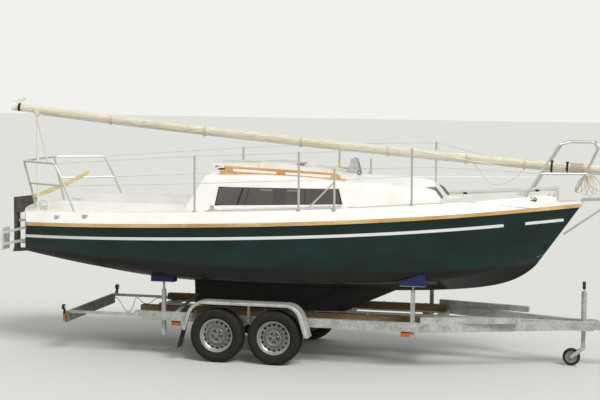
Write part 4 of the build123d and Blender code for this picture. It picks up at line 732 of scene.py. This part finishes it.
wound = bmesh.new()
helix = []
TURNS, ROPE_R = 15, 0.0045
for i in range(TURNS * 22 + 1):
    turn = math.tau * i / 22
    middle, aside, rise, run = mast_frame(2.700 + 0.0098 * i / 22)
    helix.append(middle + aside * (MAST_HALF_WIDE + ROPE_R + 0.0006) * math.cos(turn)
                 + rise * (MAST_HALF_DEEP + ROPE_R + 0.0006) * math.sin(turn))
swept(wound, helix, round_outline(ROPE_R, 7))
settle("wound_halyard", wound, ROPE_CREAM, sharp=80)

# %% [markdown]
# ## Taut lines
# A light line braces the masthead to the stern rail, another runs along each side deck, and the
# stays are lashed to the mast at six places. These lines are pulled tight, so each is a straight
# run from one fastening to the next, or three turns of lashing round the mast.

# %% Brace, side-deck line and lashings
lines = bmesh.new()
brace_top = mast_at(-3.629) + Vector((0, -0.036, -0.010))
brace_low = Vector((-3.283, -0.742, 2.226))
swept(lines, [brace_top, brace_low], round_outline(0.008, 10))
deck_run = [(0.35, -0.985), (0.80, -0.900), (1.25, -0.790), (1.70, -0.640), (2.10, -0.480), (2.36, -0.345)]
swept(lines, [deck_at(x, y) + Vector((0, 0, 0.008)) for x, y in deck_run], round_outline(0.005, 8))
swept(lines, [deck_at(x, -y) + Vector((0, 0, 0.008)) for x, y in deck_run], round_outline(0.005, 8))
settle("taut_lines", lines, ROPE_CREAM, sharp=80)

wraps = bmesh.new()
for x in (-2.70, -1.55, -0.40, 0.62, 1.52, 2.18):
    for shift in (0.0, 0.009, 0.019):
        oval_sleeve(wraps, x + shift, 0.008, 0.0006, 0.0025, drop=0.024)
settle("stay_wraps", wraps, ROPE_CREAM)

# %% [markdown]
# ## Free ropes and the lamp cable
# Ropes that hang are a fixed length of something limp. Each one is a smooth spline through a few loose points, with the
# rope's own thickness, and its length along the spline is measured and printed. The halyard's tail sags under the mast,
# five loops hang at the bow rail, and the lamp cable loops below its tube.

# %% Free ropes
def rope(name, points, radius, material):
    """A hanging rope: one smooth spline through its route's points."""
    curve = bpy.data.curves.new(name, "CURVE")
    curve.dimensions = "3D"
    spline = curve.splines.new("NURBS")
    spline.points.add(len(points) - 1)
    for spot, point in zip(spline.points, points):
        spot.co = (*point, 1.0)
    spline.order_u = 3
    spline.use_endpoint_u = True
    curve.resolution_u = 10
    curve.bevel_depth = radius
    curve.bevel_resolution = 3
    curve.use_fill_caps = True
    curve.materials.append(material)
    piece = bpy.data.objects.new(name, curve)
    bpy.context.scene.collection.objects.link(piece)
    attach(piece, "boat_and_trailer")
    return piece


def spline_length(piece):
    """The length of a rope's own line, measured along its spline with the thickness off."""
    bare = piece.data.copy()
    bare.bevel_depth = 0
    holder = bpy.data.objects.new("measure", bare)
    bpy.context.scene.collection.objects.link(holder)
    line = bpy.data.meshes.new_from_object(holder.evaluated_get(bpy.context.evaluated_depsgraph_get()))
    spots = [v.co.copy() for v in line.vertices]
    bpy.data.objects.remove(holder)
    return sum((b - a).length for a, b in zip(spots, spots[1:]))


def hank_points():
    """Five loose oval loops of one rope that fan out from where they hang, each leaning its own way."""
    points = []
    for lean, high, wide, back in ((-34, 0.232, 0.056, -0.034), (-12, 0.224, 0.050, -0.014), (6, 0.236, 0.054, 0.006),
                                   (22, 0.220, 0.052, 0.024), (38, 0.214, 0.058, 0.040)):
        for step in range(12):
            turn = math.tau * step / 12
            across, down = -wide * math.sin(turn), high / 2 * (1 - math.cos(turn))
            tilt = math.radians(lean + 3 * math.sin(turn))
            points.append((2.900 + across * math.cos(tilt) + down * math.sin(tilt), back + 0.02 * step / 12,
                           2.158 - down * math.cos(tilt) + across * math.sin(tilt)))
    return points


under = Vector((0, 0, -0.052))
ROPES = {
    "halyard_tail": ([mast_at(1.604) + under, mast_at(1.66) + under + Vector((0, 0, -0.045)), (1.755, -0.022, 2.075),
                      (1.870, -0.018, 2.020), (2.000, -0.012, 2.062), (2.110, -0.006, 2.130),
                      mast_at(2.197) + under], 0.0045, ROPE_CREAM, "white_plastic"),
    "lamp_cable": ([(-3.004, 0.730, 0.440), (-2.975, 0.730, 0.430), (-2.930, 0.730, 0.400), (-2.880, 0.728, 0.310),
                    (-2.815, 0.727, 0.235), (-2.752, 0.728, 0.310), (-2.722, 0.730, 0.430), (-2.700, 0.730, 0.4465),
                    (-2.675, 0.730, 0.430), (-2.630, 0.730, 0.385), (-2.570, 0.732, 0.362), (-2.500, 0.730, 0.395),
                    (-2.465, 0.730, 0.430), (-2.445, 0.730, 0.4465), (-2.400, 0.730, 0.4480), (-2.300, 0.730, 0.4480),
                    (-2.212, 0.730, 0.4480)], 0.0035, BLACK_RUBBER, "pad_rubber"),
    "bow_hank": (hank_points(), 0.005, ROPE_CREAM, "white_plastic"),
}
for name, (points, radius, material, slot) in ROPES.items():
    piece = rope(name, points, radius, material)
    long = spline_length(piece)
    print(name, round(long, 3), "m long")

# %% [markdown]
# ## Fastenings on the trailer
# A trailer is bolted up from galvanised members. Bolts sit at the drawbar's joint, on the cross
# members' ends, through the keel beam, on the mudguards and on the coupling. Each spot is found
# by a ray onto the solid that it fastens.

# %% Trailer bolts
spots = []
for side in (-1, 1):
    for x in (-2.14, -1.96, -1.60, 0.05, 0.30, 1.18, 1.42, 1.62):
        spots.append(surface("trailer_frame", (x, side * 1.2, 0.487), (0, -side, 0)))
    for x in (-1.60, 0.05, 1.18):
        spots.append(surface("trailer_frame", (x, side * 1.2, 0.440), (0, -side, 0)))
    for x in (-1.95, -1.30, -0.70, -0.10, 0.50, 1.00):
        spots.append(surface("planks", (x, side * 0.5, 1.0), (0, 0, -1)))
for x in (2.960, 3.030):
    for y in (-0.045, 0.045):
        spots.append(surface("coupling", (x, y, 0.9), (0, 0, -1)))
bolted("trailer_bolts", spots, ZINC_BOLTS, ZINC, 0.019, 0.010)

# %% [markdown]
# ## Screws and fittings on deck
# Every stanchion foot has four screws. The bow has a black fairlead and a chrome one on each side.
# A fairlead is a bar with two horns, swept and rounded.

# %% Deck screws and fairleads
SCREW_RING = 0.0235
screws = []
for x, y in ((-1.400, 1.010), (-0.185, 1.050), (0.215, 1.035), (1.045, 0.850)):
    for side in (-1, 1):
        for i in range(4):
            turn = math.tau * (i + 0.5) / 4
            spot = (x + SCREW_RING * math.cos(turn), side * y + SCREW_RING * math.sin(turn), 2.0)
            screws.append(surface("stanchions", spot, (0, 0, -1)))
bolted("stanchion_screws", screws, STEEL_SCREWS, STEEL, 0.006, 0.003)


def fairlead(build, x, y, long, high):
    """A deck fairlead: a foot and two horns that curl in over the rope's way."""
    foot = deck_at(x, y)
    base = [foot + Vector((dx, 0, 0.004)) for dx in (-long / 2, long / 2)]
    swept(build, base, [(-0.014, -0.006), (0.014, -0.006), (0.012, 0.004), (-0.012, 0.004)])
    for way in (-1, 1):
        horn = [foot + Vector((way * long * share, 0, high * rise)) for share, rise in
                ((0.46, 0.1), (0.47, 0.6), (0.38, 0.95), (0.22, 1.05), (0.10, 0.95))]
        swept(build, horn, round_outline(0.006, 10))


black_leads = bmesh.new()
chrome_leads = bmesh.new()
for side in (-1, 1):
    fairlead(black_leads, 2.323, side * 0.33, 0.085, 0.026)
    fairlead(chrome_leads, 2.520, side * 0.20, 0.080, 0.026)
settle("black_fairleads", black_leads, BLACK_PLASTIC)
settle("chrome_fairleads", chrome_leads, STEEL)

# %% [markdown]
# ## Window frames
# A slim black seal runs round each side window and holds its edge, and four darker posts cross
# it. The windows lie on the coachroof's leaning side, so every point is found by a ray from beside
# the boat. Each run of the seal is a straight bar, and the bars meet at the corners.

# %% Window seals and posts
WINDOW = [(-1.258, 1.767), (0.214, 1.816), (0.164, 1.977), (-1.225, 1.969)]
# each post's two ends and half its width
POSTS = [((-0.985, 1.780), (-0.930, 1.966), 0.019), ((-0.905, 1.783), (-0.862, 1.967), 0.004),
         ((-0.212, 1.804), (-0.212, 1.970), 0.007), ((0.140, 1.816), (0.124, 1.973), 0.017)]
seals = bmesh.new()
for side in (-1, 1):
    runs = [(*pair, 0.0055, 0.004) for pair in zip(WINDOW, WINDOW[1:] + WINDOW[:1])]
    for start, end, half_wide, proud in runs + [(*post, 0.0015) for post in POSTS]:
        ends = [surface("side_windows", (x, side * 2, z), (0, -side, 0))[0] for x, z in (start, end)]
        swept(seals, ends, [(-proud, -half_wide), (proud, -half_wide), (proud, half_wide), (-proud, half_wide)])
settle("window_seals", seals, BLACK_RUBBER)

# %% [markdown]
# ## Jockey wheel
# The small wheel has a rubber tyre on a dished, ribbed steel hub, and two pressed arms carry it
# from the stem's foot. These stand for the plain solids. The crank above ends in a black grip.

# %% Jockey tyre, hub, arms and grip
AXLE = Vector((2.759, 0, 0.100))
# (across, radius) in millimetres
JOCKEY_TYRE = [(-19, 66), (-22, 71), (-25, 79), (-25, 89), (-21, 95), (-15, 98), (-5, 99.6),
               (5, 99.6), (15, 98), (21, 95), (25, 89), (25, 79), (22, 71), (19, 66)]
JOCKEY_HUB = [(-21, 67), (-21, 60), (-9, 56), (-6, 32), (-23, 24), (-23, 7),
              (23, 7), (23, 24), (6, 32), (9, 56), (21, 60), (21, 67)]


def prism(build, outline, y0, y1):
    """A plate from an (x, z) outline, its faces at two distances across."""
    bridged(build, [[build.verts.new((x, y, z)) for x, z in outline] for y in (y0, y1)])


mesh = built("jockey_tyre", lathe(JOCKEY_TYRE, 56))
mesh.transform(Matrix.Translation(AXLE))
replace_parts(settle("jockey_tyre", mesh, BLACK_RUBBER, "jockey_roller"), "jockey_wheel")
hub = lathe(JOCKEY_HUB, 56)
for i in range(6):
    turn = math.tau * i / 6
    for face in (-1, 1):
        near, far = 0.024, 0.058
        swept(hub, [(near * math.cos(turn), face * 0.0115, near * math.sin(turn)),
                    (far * math.cos(turn), face * 0.0115, far * math.sin(turn))],
              [(-0.0028, -0.0055), (0.0028, -0.0055), (0.0028, 0.0055), (-0.0028, 0.0055)])
mesh = built("jockey_hub", hub)
mesh.transform(Matrix.Translation(AXLE))
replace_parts(settle("jockey_hub", mesh, RIM_PAINT, "jockey_roller"), "jockey_wheel")

arms = bmesh.new()
for side in (-1, 1):
    prism(arms, [(2.744, 0.090), (2.741, 0.104), (2.748, 0.117), (2.858, 0.206), (2.858, 0.214), (2.914, 0.214),
                 (2.912, 0.196), (2.896, 0.180), (2.775, 0.088), (2.760, 0.083)], side * 0.029, side * 0.035)
prism(arms, [(2.858, 0.206), (2.858, 0.214), (2.914, 0.214), (2.914, 0.206)], -0.0295, 0.0295)
swept(arms, [AXLE + Vector((0, -0.040, 0)), AXLE + Vector((0, 0.040, 0))], round_outline(0.006, 14))
swept(arms, [AXLE + Vector((0, -0.044, 0)), AXLE + Vector((0, -0.035, 0))], round_outline(0.011, 6))
swept(arms, [AXLE + Vector((0, 0.035, 0)), AXLE + Vector((0, 0.044, 0))], round_outline(0.011, 6))
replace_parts(settle("jockey_arms", arms, ZINC, "jockey_swivel"), "jockey_fork")

grip = built("jockey_grip", lathe([(0, 14.1), (0, 17.5), (9, 19), (38, 17.5), (70, 19.5), (83, 17), (83, 14.1)], 28))
grip.transform(Matrix.Translation((2.892, -0.104, 0.893)) @ Matrix.Rotation(math.pi / 2, 4, "X"))
settle("jockey_grip", grip, BLACK_PLASTIC)

# %% [markdown]
# ## Lamp fittings
# Each amber side lens hangs from a black base, and each marker lamp at the stern sits in a black ring with a clear lens
# on its forward side. The mast's foot has a shackle, and at each aft corner of the hatch garage a black patch is
# painted shade in a drain slot.

# %% Lamp bases, marker rings, shackle and painted shade in the drain slots
bases = bmesh.new()
for x in (-1.703, 0.979):
    for side in (-1, 1):
        prism(bases, [(x - 0.046, 0.408), (x - 0.054, 0.4195), (x + 0.054, 0.4195), (x + 0.046, 0.408)],
              side * 0.731, side * 0.766)
MARKER_X, MARKER_Y, MARKER_Z = -3.0325, 0.893, 0.545
for side in (-1, 1):
    swept(bases, [(MARKER_X - 0.006, side * MARKER_Y, MARKER_Z), (MARKER_X + 0.0295, side * MARKER_Y, MARKER_Z)],
          round_outline(0.031, 28))
    swept(bases, [(-3.022, side * 0.888, 0.462), (-3.018, side * 0.893, 0.520)], round_outline(0.012, 12))
settle("lamp_bases", bases, BLACK_PLASTIC)
clear = bmesh.new()
for side in (-1, 1):
    swept(clear, [(-3.0035, side * MARKER_Y, MARKER_Z), (-2.999, side * MARKER_Y, MARKER_Z)], round_outline(0.026, 24))
    swept(clear, [(-2.9995, side * MARKER_Y, MARKER_Z), (-2.996, side * MARKER_Y, MARKER_Z)], round_outline(0.019, 24))
settle("marker_lenses", clear, WHITE_PLASTIC)

ring = bmesh.new()
swept(ring, [(0.303 + 0.020 * math.cos(math.tau * i / 20), -0.100, 2.137 + 0.024 * math.sin(math.tau * i / 20))
             for i in range(20)], round_outline(0.0045, 8), closed=True)
settle("tabernacle_shackle", ring, BLACK_PLASTIC)

# painted shade: a thin black patch on the garage's side at each aft corner, where a drain slot opens
slot_shade = bmesh.new()
for side in (-1, 1):
    low = min(surface("deck", (x, side * 1.0, 2.160), (0, -side, 0))[0].y * side for x in (-1.325, -1.245)) * side
    prism(slot_shade, [(-1.334, 2.147), (-1.338, 2.157), (-1.330, 2.166), (-1.241, 2.167), (-1.233, 2.157), (-1.240, 2.147)],
          low - side * 0.004, low + side * 0.003)
settle("garage_slot_shade", slot_shade, BLACK_RUBBER)

# %% [markdown]
# ## Transom quarters
# The real transom is one rounded panel from side to side. The CAD shell is only closed in the
# middle third, because its hollow reaches past the rounded end beside it, so two curved panels
# close the quarters here. Rays from below and above find the shell's edges, and each panel's rim
# lies inside the 28 mm wall, so the outline stays the shell's own.

# %% Transom quarters
# the rounded end's middle and radius; how far a panel's rim lies in the wall, how far its face lies
# inside the rounded end, and its thickness
BEND_X, BEND_R = -2.225, 1.525
IN_WALL, RECESS, SKIN = 0.012, 0.001, 0.005
# the first column's distance from the middle, the step between columns, and room ahead of the face
FIRST_Y, STEP_Y, AHEAD = 0.200, 0.0085, 0.003


def stern_x(y, inset):
    """The rounded transom's station at a distance from the middle."""
    return BEND_X - math.sqrt((BEND_R - inset) ** 2 - y * y)


def quarter_columns(side):
    """Bottom, sheer and top heights of a quarter, at stations across it."""
    a, b, c = parabola(SHEER)
    columns = []
    for i in range(80):
        y = FIRST_Y + STEP_Y * i
        x = stern_x(y, RECESS)
        low = nodes["hull"].ray_cast(Vector((x + AHEAD, side * y, 0.5)), Vector((0, 0, 1)))
        high = nodes["deck"].ray_cast(Vector((x + AHEAD, side * y, 3.0)), Vector((0, 0, -1)))
        if not (low[0] and high[0]):
            break
        sheer = a + b * x + c * x * x
        columns.append((side * y, low[1].z + IN_WALL, sheer, high[1].z - IN_WALL))
    return columns


def curved_panel(build, columns):
    """A skin on the transom's curve through columns of (y, lower z, upper z)."""
    rings = []
    for y, low, high in columns:
        corners = ((RECESS, low), (RECESS, high), (RECESS + SKIN, high), (RECESS + SKIN, low))
        rings.append([build.verts.new((stern_x(y, inset), y, z)) for inset, z in corners])
    bridged(build, rings)


below, above = bmesh.new(), bmesh.new()
for side in (-1, 1):
    columns = quarter_columns(side)
    curved_panel(below, [(y, low, sheer) for y, low, sheer, high in columns if sheer > low + 0.002])
    curved_panel(above, [(y, sheer, high) for y, low, sheer, high in columns if high > sheer + 0.002])
    print("quarter", side, "columns", len(columns), "to y", round(columns[-1][0], 3))
settle("transom_quarters", below, HULL)
settle("aft_deck_quarters", above, DECK)

# %% [markdown]
# ## Floor, light and camera
# The object stands on a plain pale floor under soft light from the sky and one broad lamp,
# which throws a gentle shadow. The camera stands where the photograph was taken: 18 m off the
# starboard side, abreast of the bow, 3.4 m up, with a long lens.

# %% Floor and lights
bpy.ops.mesh.primitive_plane_add(size=120, location=(0, 20, -0.001))
floor = bpy.context.object
floor.name = "floor"
floor.data.materials.append(finish("pale_floor", "#D8D7D2", 0.9)[0])

world = bpy.data.worlds.new("sky")
bpy.context.scene.world = world
world.use_nodes = True
sky = world.node_tree
paths = node(sky, "ShaderNodeLightPath")
daylight = sky.nodes["Background"]
daylight.inputs["Color"].default_value = linear("#E9EBEA")
daylight.inputs["Strength"].default_value = 0.75
backdrop = node(sky, "ShaderNodeBackground")
backdrop.inputs["Color"].default_value = linear("#F2F1EE")
# what shiny surfaces mirror: a street and grass below the horizon, trees above it, then open sky
look = node(sky, "ShaderNodeSeparateXYZ", {"Vector": node(sky, "ShaderNodeTexCoord").outputs["Generated"]})
height = maths(sky, "ADD", maths(sky, "MULTIPLY", look.outputs["Z"], 0.5), 0.5)
street = node(sky, "ShaderNodeBackground",
              {"Color": ramp(sky, height, [(0.30, "#97958F"), (0.46, "#8C8E82"), (0.50, "#7B8372"), (0.62, "#A1A997"),
                                           (0.74, "#E6E9EA")])})
first = node(sky, "ShaderNodeMixShader", {"Fac": paths.outputs["Is Glossy Ray"]})
sky.links.new(daylight.outputs[0], first.inputs[1])
sky.links.new(street.outputs[0], first.inputs[2])
either = node(sky, "ShaderNodeMixShader", {"Fac": paths.outputs["Is Camera Ray"]})
sky.links.new(first.outputs[0], either.inputs[1])
sky.links.new(backdrop.outputs[0], either.inputs[2])
sky.links.new(either.outputs[0], sky.nodes["World Output"].inputs["Surface"])
floor.visible_glossy = False

lamp = bpy.data.objects.new("overcast_sun", bpy.data.lights.new("overcast_sun", "SUN"))
lamp.data.energy = 2.1
lamp.data.angle = math.radians(25)
lamp.rotation_euler = (math.radians(44), 0, math.radians(46))
bpy.context.scene.collection.objects.link(lamp)
bpy.context.scene.view_settings.view_transform = "Standard"
print("lit by", lamp.name)

# %% Camera at the photograph's place
FOCAL_PX, PHOTO_WIDE = 1625.9, 600
CAMERA_AT = Vector((4.076, -18.449, 3.390))
YAW, PITCH, ROLL = 0.2393, 0.0839, 0.0084
level = Vector((-math.sin(YAW), math.cos(YAW), 0))
forward = level * math.cos(PITCH) - Vector((0, 0, 1)) * math.sin(PITCH)
up = Vector((0, 0, 1)) * math.cos(PITCH) + level * math.sin(PITCH)
right = forward.cross(up)
right, up = right * math.cos(ROLL) + up * math.sin(ROLL), up * math.cos(ROLL) - right * math.sin(ROLL)

camera = bpy.data.objects.new("camera", bpy.data.cameras.new("camera"))
camera.data.sensor_width = 36
camera.data.lens = FOCAL_PX / PHOTO_WIDE * 36
camera.data.clip_end = 400
camera.matrix_world = Matrix((right, up, -forward)).transposed().to_4x4()
camera.location = CAMERA_AT
bpy.context.scene.collection.objects.link(camera)
bpy.context.scene.camera = camera
print("camera lens", round(camera.data.lens, 2), "mm")
